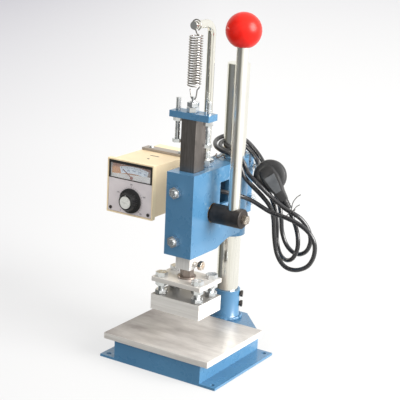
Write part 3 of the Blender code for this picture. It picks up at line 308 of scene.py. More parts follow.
def ground_steel(name, colour, shade, roughness):
    """Ground bar stock, with grinding lines along Z and darker oiled patches."""
    f = Finish(name, 1.0)
    lines = f.noise((1400.0, 1400.0, 40.0), 4.0, 0.7)
    patch = f.noise((55.0, 55.0, 30.0), 4.0, 0.6)
    tone = f.fade(lines, 0.3, 0.7, shade, colour)
    tone = f.fade(patch, 0.45, 0.75, tone, shade, 0.55)
    f.surface(tone, f.spread(patch, 0.3, 0.7, *roughness))
    f.bump(lines, 0.00001, 0.6)
    return f.material


def half_worn_ram():
    """Ground square bar: oiled and dark where it slides, clean and bright at its lower end."""
    f = Finish("ram")
    lines = f.noise((1400.0, 1400.0, 40.0), 4.0, 0.7)
    patch = f.noise((55.0, 55.0, 30.0), 4.0, 0.6)
    oiled = f.fade(lines, 0.3, 0.7, (0.17, 0.15, 0.14), (0.31, 0.28, 0.26))
    oiled = f.fade(patch, 0.45, 0.75, oiled, (0.15, 0.13, 0.12), 0.55)
    clean = f.fade(lines, 0.3, 0.7, (0.62, 0.60, 0.58), (0.80, 0.79, 0.77))
    height = f.plus(f.place("Z"), f.times(patch, 0.004))
    worn_from, worn_to = 0.1375, 0.1405
    tone = f.fade(height, worn_from, worn_to, clean, oiled)
    f.set("Metallic", f.spread(height, worn_from, worn_to, 0.42, 0.9))
    f.surface(tone, f.spread(patch, 0.3, 0.7, 0.28, 0.44))
    f.bump(lines, 0.00001, 0.6)
    return f.material


def plated(name, colour, shade, tint):
    """Bright plating: cloudy, tinted in broad patches, duller in its hollows."""
    f = Finish(name, 1.0)
    cloud = f.noise(170.0, 3.0, 0.6)
    tone = f.fade(cloud, 0.3, 0.7, shade, colour)
    tone = f.fade(f.noise(60.0), 0.45, 0.7, tone, tint, 0.5)
    f.surface(tone, f.spread(cloud, 0.3, 0.7, 0.16, 0.34))
    f.bump(f.noise(900.0), 0.00001, 0.4)
    return f.material


def oiled_black():
    """Black oxide: satin, brownish where it is rubbed, brighter on the corners."""
    f = Finish("black_oxide", 0.55)
    patch = f.noise(70.0, 4.0, 0.6)
    tone = f.fade(patch, 0.35, 0.7, (0.022, 0.020, 0.020), (0.055, 0.046, 0.042))
    rub = f.times(f.edges(0.53, 0.60), f.spread(f.noise(300.0), 0.4, 0.6))
    tone = f.mix(f.times(rub, 0.6), tone, (0.22, 0.20, 0.19))
    f.surface(tone, f.spread(patch, 0.3, 0.7, 0.34, 0.52))
    f.bump(f.noise((40.0, 1500.0, 1500.0), 3.0), 0.00001, 0.5)
    return f.material


def moulded(name, colour, shade, roughness):
    """Moulded plastic: fine spark grain, slight colour drift, and lighter sharp edges, partly
    painted edge highlight and partly polish where it is touched.
    """
    f = Finish(name)
    drift = f.noise(30.0, 3.0)
    fine = f.noise(2200.0, 1.0)
    tone = f.fade(drift, 0.3, 0.7, shade, colour)
    edge_highlight_and_wear = tuple(min(1.0, 0.03 + 1.25 * c) for c in colour)
    # partly painted edge highlight, partly polish from touch: sharp edges are lightened towards a
    # paler tone
    tone = f.mix(f.times(f.edges(0.54, 0.64), 0.4), tone, edge_highlight_and_wear)
    tone = f.fade(fine, 0.3, 0.7, tone, (0.0, 0.0, 0.0), 0.08)
    f.surface(tone, f.spread(drift, 0.3, 0.7, roughness - 0.06, roughness + 0.06))
    f.bump(fine, 0.00002, 0.35)
    return f.material


def red_ball():
    """Moulded ball: pigment swirl, light scratches and a soft clear surface."""
    f = Finish("red_plastic")
    swirl = f.noise(38.0, 3.0, 0.5, 1.2)
    tone = f.fade(swirl, 0.35, 0.65, (0.58, 0.008, 0.004), (0.69, 0.014, 0.007))
    scuff = f.spread(f.noise((160.0, 160.0, 900.0), 4.0, 0.7), 0.58, 0.70)
    f.surface(tone, f.spread(scuff, 0.0, 1.0, 0.32, 0.44))
    f.set("Specular IOR Level", 0.22)
    f.coat(0.10, 0.26)
    f.bump(f.noise(60.0), 0.00005, 0.2)
    return f.material


def glazing():
    """Clear meter window with faint dust and wipe marks."""
    f = Finish("clear_plastic")
    wipe = f.noise((90.0, 90.0, 700.0), 3.0, 0.6)
    tone = f.fade(wipe, 0.3, 0.7, (0.90, 0.93, 0.96), (1.0, 1.0, 1.0))
    f.surface(tone, f.spread(wipe, 0.3, 0.7, 0.04, 0.14))
    f.set("Alpha", f.spread(wipe, 0.35, 0.75, 0.08, 0.18))
    f.set("IOR", 1.49)
    f.bump(wipe, 0.000004, 0.3)
    f.material.surface_render_method = "BLENDED"
    return f.material


def printed_card(name, colour, shade, roughness=0.55):
    """Printed or painted sheet with a fine tooth."""
    f = Finish(name)
    fibre = f.noise(1500.0, 3.0, 0.6)
    tone = f.fade(f.noise(60.0), 0.3, 0.7, shade, colour)
    tone = f.fade(fibre, 0.35, 0.75, tone, shade, 0.12)
    f.surface(tone, f.spread(fibre, 0.3, 0.7, roughness - 0.08, roughness + 0.08))
    f.bump(fibre, 0.000012, 0.4)
    return f.material


def soft_black(name, colour, shade, roughness, coat):
    """Flexible PVC: nearly black, softly glossy, with extrusion drag and handling dust."""
    f = Finish(name)
    dust = f.noise(85.0, 4.0, 0.6)
    fine = f.noise(1700.0)
    tone = f.fade(dust, 0.35, 0.7, shade, colour)
    tone = f.fade(fine, 0.5, 0.8, tone, (0.10, 0.10, 0.105), 0.15)
    f.surface(tone, f.spread(dust, 0.3, 0.7, roughness - 0.05, roughness + 0.10))
    f.coat(coat, 0.16)
    f.bump(fine, 0.000015, 0.35)
    return f.material


def amber_card():
    """Printed card: orange at its left, brown to the right, with a rust line along the top."""
    f = Finish("amber_card")
    tone = f.fade(f.place("X"), -0.146, -0.094, (0.66, 0.30, 0.11), (0.20, 0.135, 0.11))
    tone = f.fade(f.place("Z"), 0.2105, 0.2125, tone, (0.22, 0.06, 0.025), 0.8)
    fibre = f.noise(1500.0, 3.0, 0.6)
    tone = f.fade(fibre, 0.35, 0.75, tone, (0.12, 0.05, 0.02), 0.2)
    f.surface(tone, f.spread(fibre, 0.3, 0.7, 0.42, 0.58))
    f.bump(fibre, 0.000012, 0.4)
    return f.material


def spun(name, colour, about, axis, metallic):
    """Turned face: concentric tool marks round the axis."""
    f = Finish(name, metallic)
    rings = f.rings(about, axis, 0.00045)
    tone = f.fade(rings, -1.0, 1.0, tuple(0.78 * c for c in colour), colour)
    f.surface(tone, f.spread(f.noise(220.0, 3.0), 0.3, 0.7, 0.22, 0.38))
    f.bump(rings, 0.00001, 0.5)
    return f.material


def yellow_metal(name, colour, shade):
    """Bronze or brass with a thin tarnish."""
    f = Finish(name, 1.0)
    tarnish = f.noise(110.0, 4.0, 0.6)
    tone = f.fade(tarnish, 0.35, 0.7, shade, colour)
    f.surface(tone, f.spread(tarnish, 0.3, 0.7, 0.22, 0.42))
    f.bump(f.noise((1200.0, 1200.0, 60.0), 3.0), 0.000008, 0.5)
    return f.material


FINISHES = {
    "blue_enamel": enamel(),
    "aluminium": brushed(
        "aluminium", (7.0, 300.0, 300.0), (0.80, 0.775, 0.745), (0.66, 0.625, 0.59)
    ),
    "polished_steel": drawn_bar("polished_steel", (0.97, 0.955, 0.90), (0.80, 0.785, 0.72)),
    "dark_steel": ground_steel("dark_steel", (0.36, 0.33, 0.31), (0.20, 0.18, 0.17), (0.26, 0.42)),
    "zinc": plated("zinc", (0.90, 0.91, 0.93), (0.68, 0.71, 0.74), (0.74, 0.80, 0.84)),
    "spring_steel": drawn_bar("spring_steel", (0.58, 0.56, 0.54), (0.34, 0.32, 0.31), (0.18, 0.30)),
    "bronze": yellow_metal("bronze", (0.60, 0.41, 0.20), (0.36, 0.23, 0.11)),
    "brass": yellow_metal("brass", (0.80, 0.62, 0.28), (0.50, 0.36, 0.14)),
    "black_oxide": oiled_black(),
    "red_plastic": red_ball(),
    "beige_plastic": moulded("beige_plastic", (0.86, 0.70, 0.47), (0.80, 0.63, 0.41), 0.44),
    "panel_grey": printed_card("panel_grey", (0.68, 0.625, 0.64), (0.60, 0.55, 0.57)),
    "black_plastic": moulded("black_plastic", (0.022, 0.022, 0.023), (0.014, 0.014, 0.015), 0.36),
    "clear_plastic": glazing(),
    "dial_white": printed_card("dial_white", (0.72, 0.80, 0.88), (0.62, 0.70, 0.80)),
    "rubber": soft_black("rubber", (0.020, 0.020, 0.024), (0.011, 0.011, 0.014), 0.28, 0.60),
}

# Finishes of single pieces
PLUG_BLACK = soft_black("plug", (0.020, 0.020, 0.022), (0.013, 0.013, 0.015), 0.42, 0.15)
# painted light: a lighter copy of the plug's black for the grip face that catches the key light
PLUG_LIT_FACE = soft_black("plug_pad", (0.100, 0.106, 0.116), (0.070, 0.075, 0.083), 0.38, 0.2)
TIE_GREY = ground_steel("tie_wire", (0.26, 0.25, 0.24), (0.15, 0.14, 0.14), (0.36, 0.50))
LOOSE_END = ground_steel("loose_wire", (0.42, 0.30, 0.21), (0.24, 0.16, 0.11), (0.4, 0.55))
DARK = moulded("meter_frame", (0.011, 0.009, 0.008), (0.006, 0.005, 0.005), 0.45)
INK = printed_card("ink", (0.03, 0.03, 0.035), (0.05, 0.05, 0.055), 0.5)
WHITE_INK = printed_card("white_ink", (0.82, 0.82, 0.80), (0.70, 0.70, 0.68), 0.5)
BLUE_INK = printed_card("blue_ink", (0.03, 0.07, 0.22), (0.05, 0.10, 0.26), 0.5)
SILVER = printed_card("silver_card", (0.74, 0.73, 0.72), (0.62, 0.61, 0.61), 0.42)


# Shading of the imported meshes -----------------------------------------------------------
def make_smoothing():
    """Geometry-node group that welds a mesh and shades it smooth below a given angle."""
    group = bpy.data.node_groups.new("smooth_by_angle", "GeometryNodeTree")
    for way in ("INPUT", "OUTPUT"):
        group.interface.new_socket("Geometry", in_out=way, socket_type="NodeSocketGeometry")
    nodes, links = group.nodes, group.links
    start = nodes.new("NodeGroupInput")
    end = nodes.new("NodeGroupOutput")
    weld = nodes.new("GeometryNodeMergeByDistance")
    weld.inputs["Distance"].default_value = 0.000002
    plain = nodes.new("GeometryNodeRemoveAttribute")
    plain.inputs["Name"].default_value = "custom_normal"
    faces = nodes.new("GeometryNodeSetShadeSmooth")
    faces.domain = "FACE"
    edges = nodes.new("GeometryNodeSetShadeSmooth")
    edges.domain = "EDGE"
    angle = nodes.new("GeometryNodeInputMeshEdgeAngle")
    small = nodes.new("FunctionNodeCompare")
    small.data_type = "FLOAT"
    small.operation = "LESS_THAN"
    small.inputs[1].default_value = math.radians(33)
    chain = (start, weld, plain, faces, edges, end)
    for first, second in zip(chain, chain[1:]):
        links.new(first.outputs[0], second.inputs[0])
    links.new(angle.outputs["Unsigned Angle"], small.inputs[0])
    links.new(small.outputs[0], edges.inputs["Shade Smooth"])
    return group


# Width of a node's eased edges
PLAIN_EASE = 0.0003
EASES = {
    "head_housing": 0.0007,
    "base_frame": 0.0006,
    "crossbar": 0.0006,
    "controller_case": 0.0010,
    "ram": 0.0002,
    "meter_window": 0.0001,
    "meter_scale": 0.0001,
}
NO_EASE = (
    "work_plate", "upper_plate", "heating_block", "controller_bezel", "meter_needle",
    "ball_knob", "cord_gland", "mains_plug", "cord_tie", "power_cord", "return_spring",
)


def own_finishes():
    """Finishes of the nodes that look different from others of their material."""
    warm = ((0.90, 0.83, 0.74), (0.62, 0.52, 0.44), (0.74, 0.58, 0.42))
    return {
        "knob_cap": spun("knob_cap", (0.86, 0.86, 0.82), (KNOB_X, 0.0, KNOB_Z), "y", 0.15),
        "controller_bracket": brushed(
            "bracket", (9.0, 500.0, 500.0), (0.46, 0.41, 0.36), (0.32, 0.28, 0.25),
            (0.34, 0.5),
        ),
        "work_plate": brushed(
            "work_plate", (7.0, 160.0, 160.0), (0.86, 0.83, 0.80), (0.62, 0.585, 0.56),
            (0.28, 0.44), darker_top_left=(0.20, 0.175, 0.165),
        ),
        "heating_block": brushed(
            "heating_block", (7.0, 300.0, 300.0), (0.93, 0.91, 0.88), (0.74, 0.71, 0.68),
            under_plate_shade=(0.17, 0.16, 0.15),
        ),
        "lever_rod": drawn_bar("lever_rod", (0.97, 0.955, 0.91), (0.82, 0.805, 0.75), (0.26, 0.40)),
        "ram": half_worn_ram(),
        "tool_shank": ground_steel(
            "tool_shank", (0.43, 0.37, 0.34), (0.29, 0.245, 0.22), (0.36, 0.50)
        ),
        "shank_screw": plated("shank_screw", *warm),
        "hub_bolt": plated("hub_bolt", *warm),
        "meter_needle": printed_card("needle", (0.30, 0.05, 0.02), (0.22, 0.04, 0.02), 0.4),
    }


def dress_nodes():
    """Smooth shading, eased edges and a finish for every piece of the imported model."""
    smoothing = make_smoothing()
    own = own_finishes()
    for name, obj in NODES.items():
        shade = obj.modifiers.new("shading", "NODES")
        shade.node_group = smoothing
        if name not in NO_EASE:
            flat = obj.modifiers.new("flat_faces", "DECIMATE")
            flat.decimate_type = "DISSOLVE"
            flat.angle_limit = math.radians(0.5)
            bevel = obj.modifiers.new("eased_edges", "BEVEL")
            bevel.width = EASES.get(name, PLAIN_EASE)
            bevel.segments = 2
            bevel.limit_method = "ANGLE"
            bevel.angle_limit = math.radians(40)
            bevel.harden_normals = True
            bevel.use_clamp_overlap = True
        slot_name = obj.data.materials[0].name.split(".")[0]
        obj.material_slots[0].material = own.get(name) or FINISHES[slot_name]


# Building helpers -----------------------------------------------------------------------
def to_mesh(name, bm):
    bmesh.ops.recalc_face_normals(bm, faces=bm.faces)
    mesh = bpy.data.meshes.new(name)
    bm.to_mesh(mesh)
    bm.free()
    return mesh


def piece(name, shape, slot, body, finish=None, smooth=0):
    """A finished piece from a mesh or a bmesh; it rides on a body where one is given.

    smooth is the angle, in degrees, below which its edges are shaded smooth.
    """
    mesh = shape if isinstance(shape, bpy.types.Mesh) else to_mesh(name, shape)
    mesh.materials.append(finish or FINISHES[slot])
    if smooth:
        mesh.shade_smooth()
        mesh.set_sharp_from_angle(angle=math.radians(smooth))
    obj = link(bpy.data.objects.new(name, mesh))
    if body:
        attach(obj, body)
    return obj


def skin(bm, rings, closed=False):
    """Faces between rings of vertices; the ends are capped, or joined when it is closed."""
    following = rings[1:] + rings[:1] if closed else rings[1:]
    for first, second in zip(rings, following):
        for index in range(len(first)):
            after = (index + 1) % len(first)
            bm.faces.new((first[index], first[after], second[after], second[index]))
    if not closed:
        bm.faces.new(rings[0][::-1])
        bm.faces.new(rings[-1])


def loft(bm, outlines, closed=False):
    """A solid through outlines, each a list of corners."""
    skin(bm, [[bm.verts.new(corner) for corner in outline] for outline in outlines], closed)


def sweep(bm, points, radii, sides):
    """A closed round tube through points, with a radius for each point."""
    points = [Vector(p) for p in points]
    tangents = []
    for index in range(len(points)):
        before = points[max(index - 1, 0)]
        after = points[min(index + 1, len(points) - 1)]
        tangents.append((after - before).normalized())
    side = tangents[0].orthogonal().normalized()
    outlines = []
    for place, tangent, radius in zip(points, tangents, radii):
        side = (side - tangent * side.dot(tangent)).normalized()
        other = tangent.cross(side)
        outline = []
        for step in range(sides):
            turn = 2 * math.pi * step / sides
            offset = side * (radius * math.cos(turn)) + other * (radius * math.sin(turn))
            outline.append(place + offset)
        outlines.append(outline)
    loft(bm, outlines)


def lathe(bm, profile, sides, axis):
    """Turn a closed outline of (radius, distance) round X or Z."""
    outlines = []
    for radius, distance in profile:
        turns = [2 * math.pi * step / sides for step in range(sides)]
        circle = [(radius * math.cos(turn), radius * math.sin(turn)) for turn in turns]
        outlines.append([(distance, a, b) if axis == "x" else (a, b, distance) for a, b in circle])
    loft(bm, outlines)


def slab(bm, outline, front, back):
    """An outline in the XZ plane, made thick between two heights along Y."""
    loft(bm, [[(x, y, z) for x, z in outline] for y in (front, back)])


def rectangle(low_x, high_x, low_z, high_z):
    return [(low_x, low_z), (high_x, low_z), (high_x, high_z), (low_x, high_z)]


def wire(name, points, radius, slot, body, finish=None):
    """A piece of round wire through points."""
    bm = bmesh.new()
    sweep(bm, points, [radius] * len(points), 8)
    return piece(name, bm, slot, body, finish, smooth=60)


def smooth_route(points, steps):
    """A Catmull-Rom curve through points, with steps short pieces for each span."""
    points = [Vector(p) for p in points]
    padded = [2 * points[0] - points[1], *points, 2 * points[-1] - points[-2]]
    route = []
    for a, b, c, d in zip(padded, padded[1:], padded[2:], padded[3:]):
        for step in range(steps):
            t = step / steps
            bend = (2 * a - 5 * b + 4 * c - d) * t**2 + (3 * b - a - 3 * c + d) * t**3
            route.append(0.5 * (2 * b + (c - a) * t + bend))
    route.append(points[-1])
    return route


# Mains lead -----------------------------------------------------------------------------
CORD_R = 0.0028
LEAD = (
    (-0.119, 0.062, 0.165), (-0.119, 0.076, 0.165), (-0.1182, 0.0886, 0.165),
    (-0.1143, 0.1003, 0.1649), (-0.1055, 0.1091, 0.1654), (-0.0939, 0.1126, 0.1669),
    (-0.0825, 0.1099, 0.1691), (-0.0733, 0.1011, 0.172), (-0.066, 0.086, 0.1755),
    (-0.0595, 0.058, 0.182), (-0.054, 0.024, 0.19), (-0.047, -0.012, 0.198),
    (-0.0339, -0.0371, 0.204), (-0.0127, -0.0498, 0.2073), (0.0041, -0.0527, 0.2074),
    (0.0187, -0.0465, 0.2062),
)
OUTER_LOOP = (
    (0.0405, -0.0268, 0.1971), (0.0675, -0.021, 0.185), (0.09, -0.02, 0.1815),
    (0.1075, -0.019, 0.1765), (0.122, -0.018, 0.1675), (0.129, -0.016, 0.154),
    (0.127, -0.013, 0.137), (0.118, -0.011, 0.1225), (0.102, -0.01, 0.1144),
    (0.0865, -0.0097, 0.1159), (0.074, -0.0072, 0.1276), (0.069, -0.0081, 0.1485),
    (0.067, -0.01, 0.1735), (0.0635, -0.014, 0.189), (0.053, -0.0166, 0.2012),
    (0.0372, -0.0205, 0.215),
)
OUTER_TURN = (
    (0.031, -0.0252, 0.2238), (0.028, -0.0272, 0.2317), (0.0251, -0.0271, 0.2383),
    (0.021, -0.0271, 0.2436), (0.0156, -0.0274, 0.2476), (0.0084, -0.028, 0.2501),
    (-0.0035, -0.027, 0.2519), (-0.0161, -0.0196, 0.2547), (-0.0235, -0.0064, 0.2578),
    (-0.0229, 0.0089, 0.2605), (-0.0148, 0.0206, 0.2611), (-0.0017, 0.0286, 0.2559),
    (0.0113, 0.0319, 0.2448), (0.025, 0.0278, 0.234),
)
MIDDLE_LOOP = (
    (0.0369, 0.0242, 0.2174), (0.052, 0.017, 0.1999), (0.0638, 0.0094, 0.1866),
    (0.0687, 0.0074, 0.1701), (0.0693, 0.0107, 0.1525), (0.0761, 0.0105, 0.1378),
    (0.0875, 0.0078, 0.1305), (0.1, 0.004, 0.131), (0.1112, 0.0003, 0.1395),
    (0.1162, -0.0023, 0.1535), (0.1133, -0.0045, 0.1677), (0.1059, -0.0089, 0.1795),
    (0.0975, -0.013, 0.186), (0.0855, -0.0159, 0.1915), (0.0683, -0.0201, 0.2032),
    (0.0516, -0.026, 0.2182), (0.0367, -0.023, 0.2267),
)
INNER_TURN = (
    (0.0303, -0.0205, 0.2324), (0.0258, -0.0194, 0.2392), (0.0205, -0.0198, 0.2449),
    (0.014, -0.021, 0.2487), (0.0057, -0.0219, 0.2506), (-0.0038, -0.0199, 0.2515),
    (-0.0121, -0.0141, 0.2531), (-0.0172, -0.0049, 0.2551), (-0.0176, 0.0063, 0.2565),
    (-0.0127, 0.0171, 0.2557), (-0.0036, 0.0245, 0.2514), (0.0087, 0.0263, 0.2434),
    (0.0207, 0.0225, 0.2338),
)
INNER_LOOP = (
    (0.0283, 0.0186, 0.221), (0.0421, 0.0158, 0.2015), (0.0554, 0.0113, 0.1832),
    (0.0593, 0.0141, 0.1603), (0.061, 0.014, 0.1389), (0.0696, 0.0075, 0.1249),
    (0.0826, 0.0, 0.1209), (0.0949, -0.0059, 0.1268), (0.1029, -0.0102, 0.1418),
    (0.1026, -0.0101, 0.1562), (0.0967, -0.0064, 0.1685), (0.0905, -0.006, 0.1795),
    (0.0872, -0.0069, 0.1876),
)


def make_cord():
    """The lead: out of the case, through the head, then three loops hung round the column."""
    route = LEAD + OUTER_LOOP + OUTER_TURN + MIDDLE_LOOP + INNER_TURN + INNER_LOOP
    points = smooth_route(route, 5)
    curve = bpy.data.curves.new("mains_lead", "CURVE")
    curve.dimensions = "3D"
    curve.bevel_depth = CORD_R
    curve.bevel_resolution = 5
    curve.use_fill_caps = True
    spline = curve.splines.new("POLY")
    spline.points.add(len(points) - 1)
    for point, place in zip(spline.points, points):
        point.co = (*place, 1.0)
    spline.use_smooth = True
    curve.materials.append(FINISHES["rubber"])
    lead = link(bpy.data.objects.new("mains_lead", curve))
    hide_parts("power_cord")
    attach(lead, "head")


# Mains plug -----------------------------------------------------------------------------
PLUG_CENTRE = Vector((0.0573, -0.0080, 0.2260))
PLUG_TAIL = Vector((0.0865, -0.0070, 0.1893))
PLUG_PINS = Vector((-0.50, 0.86, 0.0))
PLUG_HEAD = (
    # radius, distance along the pins
    (0.0140, -0.0058), (0.0172, -0.0054), (0.0192, -0.0042), (0.0203, -0.0022),
    (0.0205, 0.0004), (0.0205, 0.0040), (0.0201, 0.0056), (0.0188, 0.0066), (0.0160, 0.0069),
)
PLUG_GRIP = (
    # distance along the grip, half width, height of its outer face and of its inner face
    (-0.0125, 0.0070, 0.0052, 0.0030),
    (-0.0105, 0.0090, 0.0070, 0.0036),
    (-0.0060, 0.0104, 0.0092, 0.0040),
    (0.0040, 0.0117, 0.0103, 0.0042),
    (0.0130, 0.0100, 0.0100, 0.0042),
    (0.0230, 0.0070, 0.0086, 0.0042),
    (0.0300, 0.0060, 0.0070, 0.0042),
    (0.0340, 0.0054, 0.0058, 0.0042),
    (0.0352, 0.0046, 0.0050, 0.0036),
)
# a thin lighter sheet on the grip's outer face: painted light on its lit face
LIT_FACE_SHEET = (
    # distance along the grip, half width, height
    (0.0005, 0.0072, 0.0103),
    (0.0130, 0.0060, 0.0101),
    (0.0230, 0.0040, 0.0087),
)


def plug_frame():
    """Axes of the plug: along its lead, across it, and the way that its pins point."""
    along = (PLUG_TAIL - PLUG_CENTRE).normalized()
    pins = (PLUG_PINS - along * PLUG_PINS.dot(along)).normalized()
    turn = Matrix((along, pins.cross(along), pins)).transposed().to_4x4()
    return Matrix.Translation(PLUG_CENTRE) @ turn


def make_plug():
    """Moulded two-pin plug: round head, raised tapering grip and a ribbed outlet."""
    stand = plug_frame()
    length = (PLUG_TAIL - PLUG_CENTRE).length
    bm = bmesh.new()
    lathe(bm, PLUG_HEAD, 64, "z")
    rows = []
    for place, wide, outer, inner in PLUG_GRIP:
        half = [
            (wide, inner * 0.6),
            (wide, -outer * 0.35),
            (wide * 0.93, -outer * 0.78),
            (wide * 0.80, -outer * 0.96),
            (wide * 0.66, -outer),
        ]
        outline = half + [(-y, z) for y, z in reversed(half)]
        outline += [(-wide * 0.85, inner), (wide * 0.85, inner)]
        rows.append([(place, y, z) for y, z in outline])
    loft(bm, rows)
    outlet = [(0.0054, 0.0320)]
    for index in range(4):
        start = length - 0.0130 + index * 0.0032
        crest = 0.0052 - index * 0.0003
        groove = crest - 0.0007
        outlet += [(crest, start), (crest, start + 0.0018)]
        outlet += [(groove, start + 0.0022), (groove, start + 0.0030)]
    outlet.append((0.0034, length - 0.0001))
    lathe(bm, outlet, 28, "x")
    bm.transform(stand)
    body = piece("plug_body", bm, "rubber", None, PLUG_BLACK, smooth=28)
    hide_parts("mains_plug")
    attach(body, "head")

    # painted light: a thin lighter sheet laid on the grip's lit outer face
    bm = bmesh.new()
    rows = []
    for place, wide, outer in LIT_FACE_SHEET:
        foot, face = -outer + 0.0004, -outer - 0.0003
        inset = wide * 0.94
        outline = [(wide, foot), (inset, face), (-inset, face), (-wide, foot)]
        rows.append([(place, y, z) for y, z in outline])
    loft(bm, rows)
    bm.transform(stand)
    piece("plug_lit_face_sheet", bm, "rubber", "head", PLUG_LIT_FACE)


TIE_R = 0.00055
TIE_WIDE, TIE_NARROW = 0.0102, 0.0062    # half the width of its loop, both ways


def make_tie():
    """Twist of soft wire that gathers the loops under the plug."""
    middle = Vector((0.0907, -0.0103, 0.1863))
    normal = Vector((0.68, 0.17, -0.71)).normalized()
    wide = Vector((0.42, -0.81, 0.39))
    wide = (wide - normal * wide.dot(normal)).normalized()
    narrow = normal.cross(wide)
    points = [(0.1037, -0.0125, 0.2120), (0.1002, -0.0150, 0.2088), (0.0975, -0.0175, 0.2040)]
    points += [(0.0966, -0.0190, 0.2000), (0.0965, -0.0195, 0.1965)]
    for step in range(17):
        angle = math.radians(12 + 336 * step / 16)
        drift = normal * (0.0016 * (step / 16 - 0.5))
        side = wide * (TIE_WIDE * math.cos(angle)) + narrow * (TIE_NARROW * math.sin(angle))
        points.append(middle + side + drift)
    points += [(0.0985, -0.0190, 0.1925), (0.1010, -0.0164, 0.1972), (0.1040, -0.0140, 0.1995)]
    tie = wire("tie_wire", smooth_route(points, 3), TIE_R, "zinc", None, TIE_GREY)
    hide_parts("cord_tie")
    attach(tie, "head")


LOOSE_WIRE = (
    (-0.0165, -0.0225, 0.2412), (-0.0135, -0.0245, 0.2425), (-0.0120, -0.0225, 0.2450),
    (-0.0140, -0.0205, 0.2440), (-0.0125, -0.0225, 0.2416), (-0.0085, -0.0245, 0.2414),
    (-0.0050, -0.0235, 0.2430), (-0.0035, -0.0215, 0.2452), (-0.0015, -0.0220, 0.2440),
    (0.0015, -0.0240, 0.2416),
)


def make_loose_wire():
    """Short twisted end of brown wire that lies on the head in front of the column."""
    wire("loose_wire", smooth_route(LOOSE_WIRE, 5), 0.0006, "bronze", "head", LOOSE_END)


# Return spring --------------------------------------------------------------------------
SPRING_Y = -0.101
COIL_R = 0.0077
WIRE_R = 0.0008
COIL_TOP = 0.4015
COIL_END = 0.3425
COIL_TURNS = 20
HANGER_TOP = 0.4135
HANGER_BAR_R = 0.0050
HOOK_START, HOOK_TURN = -60, 315    # degrees round the hanger's bar
EYE_Z = 0.3272


def make_spring():
    """Extension spring, which runs between the hanger on the head and the ram's eye."""
    hook_r = HANGER_BAR_R + WIRE_R + 0.0006
    points = []
    for step in range(29):
        share = step / 28
        angle = math.radians(HOOK_START + HOOK_TURN * share)
        height = HANGER_TOP + hook_r * math.sin(angle)
        points.append((hook_r * math.cos(angle), SPRING_Y - 0.0012 + 0.0024 * share, height))
    points.append((0.0010, SPRING_Y - 0.0014, COIL_TOP + 0.0034))
    points.append((0.0052, SPRING_Y - 0.0036, COIL_TOP + 0.0014))
    per_turn = 20
    count = COIL_TURNS * per_turn
    for step in range(count + 1):
        angle = 2 * math.pi * step / per_turn
        height = COIL_TOP + (COIL_END - COIL_TOP) * step / count
        y = SPRING_Y + COIL_R * math.sin(angle)
        points.append((COIL_R * math.cos(angle), y, height))
    hook = [(0.0036, EYE_Z + 0.0030), (0.0026, EYE_Z + 0.0004), (0.0012, EYE_Z - 0.0003)]
    tail = [(0.0066, COIL_END - 0.0020), (0.0046, COIL_END - 0.0040), *hook]
    tail += [(-x, z) for x, z in reversed(hook)] + [(-0.0052, COIL_END - 0.0040)]
    points += [(x, SPRING_Y, z) for x, z in tail]
    spring = wire("coil_spring", points, WIRE_R, "spring_steel", None)
    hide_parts("return_spring")
    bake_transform(spring)


# Threads and welds ----------------------------------------------------------------------
M6_R, M8_R = 0.003, 0.004


def make_thread(name, body, start, axis, length, radius, pitch=0.001):
    """A helical ridge on a plain shank, faded out at both ends."""
    side = axis.orthogonal().normalized()
    other = axis.cross(side)
    per_turn = 18
    count = max(int(length / pitch * per_turn), 6)
    start = Vector(start)
    sunk, root, crest = 0.0001, 0.00008, 0.00022
    rows = []
    for step in range(count + 1):
        angle = 2 * math.pi * step / per_turn
        along = start + axis * (length * step / count)
        fade = min(1.0, step / 6, (count - step) / 6)
        out = side * math.cos(angle) + other * math.sin(angle)
        foot = along + out * (radius - sunk)
        flank = axis * (pitch * 0.40)
        peak = along + out * (radius - root + (crest + root) * fade)
        rows.append((foot - flank, peak, foot + flank))
    bm = bmesh.new()
    loft(bm, rows)
    return piece(name, bm, "zinc", body, smooth=50)


def make_threads():
    """Threads that show on bolts and screws, and above the hanger's nut."""
    bar_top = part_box("crossbar")[1].z
    for name in ("stop_bolt_left", "stop_bolt_right"):
        x, y, _ = centre(name)
        low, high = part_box(name)
        make_thread(name + "_thread_low", "ram", (x, y, low.z + 0.0052), Z_AXIS, 0.0198, M6_R)
        seen = high.z - bar_top - 0.0016
        make_thread(name + "_thread_top", "ram", (x, y, bar_top + 0.0012), Z_AXIS, seen, M6_R)
    block_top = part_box("heating_block")[1].z
    for row in ("front", "back"):
        for side in ("left", "right"):
            name = f"levelling_bolt_{row}_{side}"
            x, y, _ = centre(name)
            start = (x, y, block_top + 0.0058)
            make_thread(name + "_thread", "ram", start, Z_AXIS, 0.0050, M8_R, pitch=0.00125)
    for name in ("gib_screw_upper", "gib_screw_lower"):
        x, _, z = centre(name)
        start = (x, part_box(name)[0].y + 0.0004, z)
        make_thread(name + "_thread", "head", start, Y_AXIS, 0.0024, M8_R)
    _, y, z = centre("shank_screw")
    start = (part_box("ram")[1].x + 0.0008, y, z)
    make_thread("shank_screw_thread", "ram", start, X_AXIS, 0.0056, M6_R)
    start = (0, centre("hanger_nut").y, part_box("hanger_nut")[1].z + 0.0008)
    make_thread("hanger_thread", "head", start, Z_AXIS, 0.0090, HANGER_BAR_R)
    for name in ("clamp_bolt_upper", "clamp_bolt_lower"):
        _, y, z = centre(name)
        start = (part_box(name)[1].x - 0.0030, y, z)
        make_thread(name + "_thread", "head", start, X_AXIS, 0.0024, M8_R)


def make_bead(name, body, points, radius, closed=False):
    """A painted weld bead: a low ripple along its length."""
    radii = []
    for index in range(len(points)):
        ripple = 0.16 * math.sin(index * 1.55) + 0.09 * math.sin(index * 0.47 + 1.0)
        fade = 1.0 if closed else min(1.0, 0.35 + index / 4, 0.35 + (len(points) - 1 - index) / 4)
        radii.append(radius * (1 + ripple) * fade)
    bm = bmesh.new()
    sweep(bm, points, radii, 8)
    piece(name, bm, "blue_enamel", body, smooth=80)


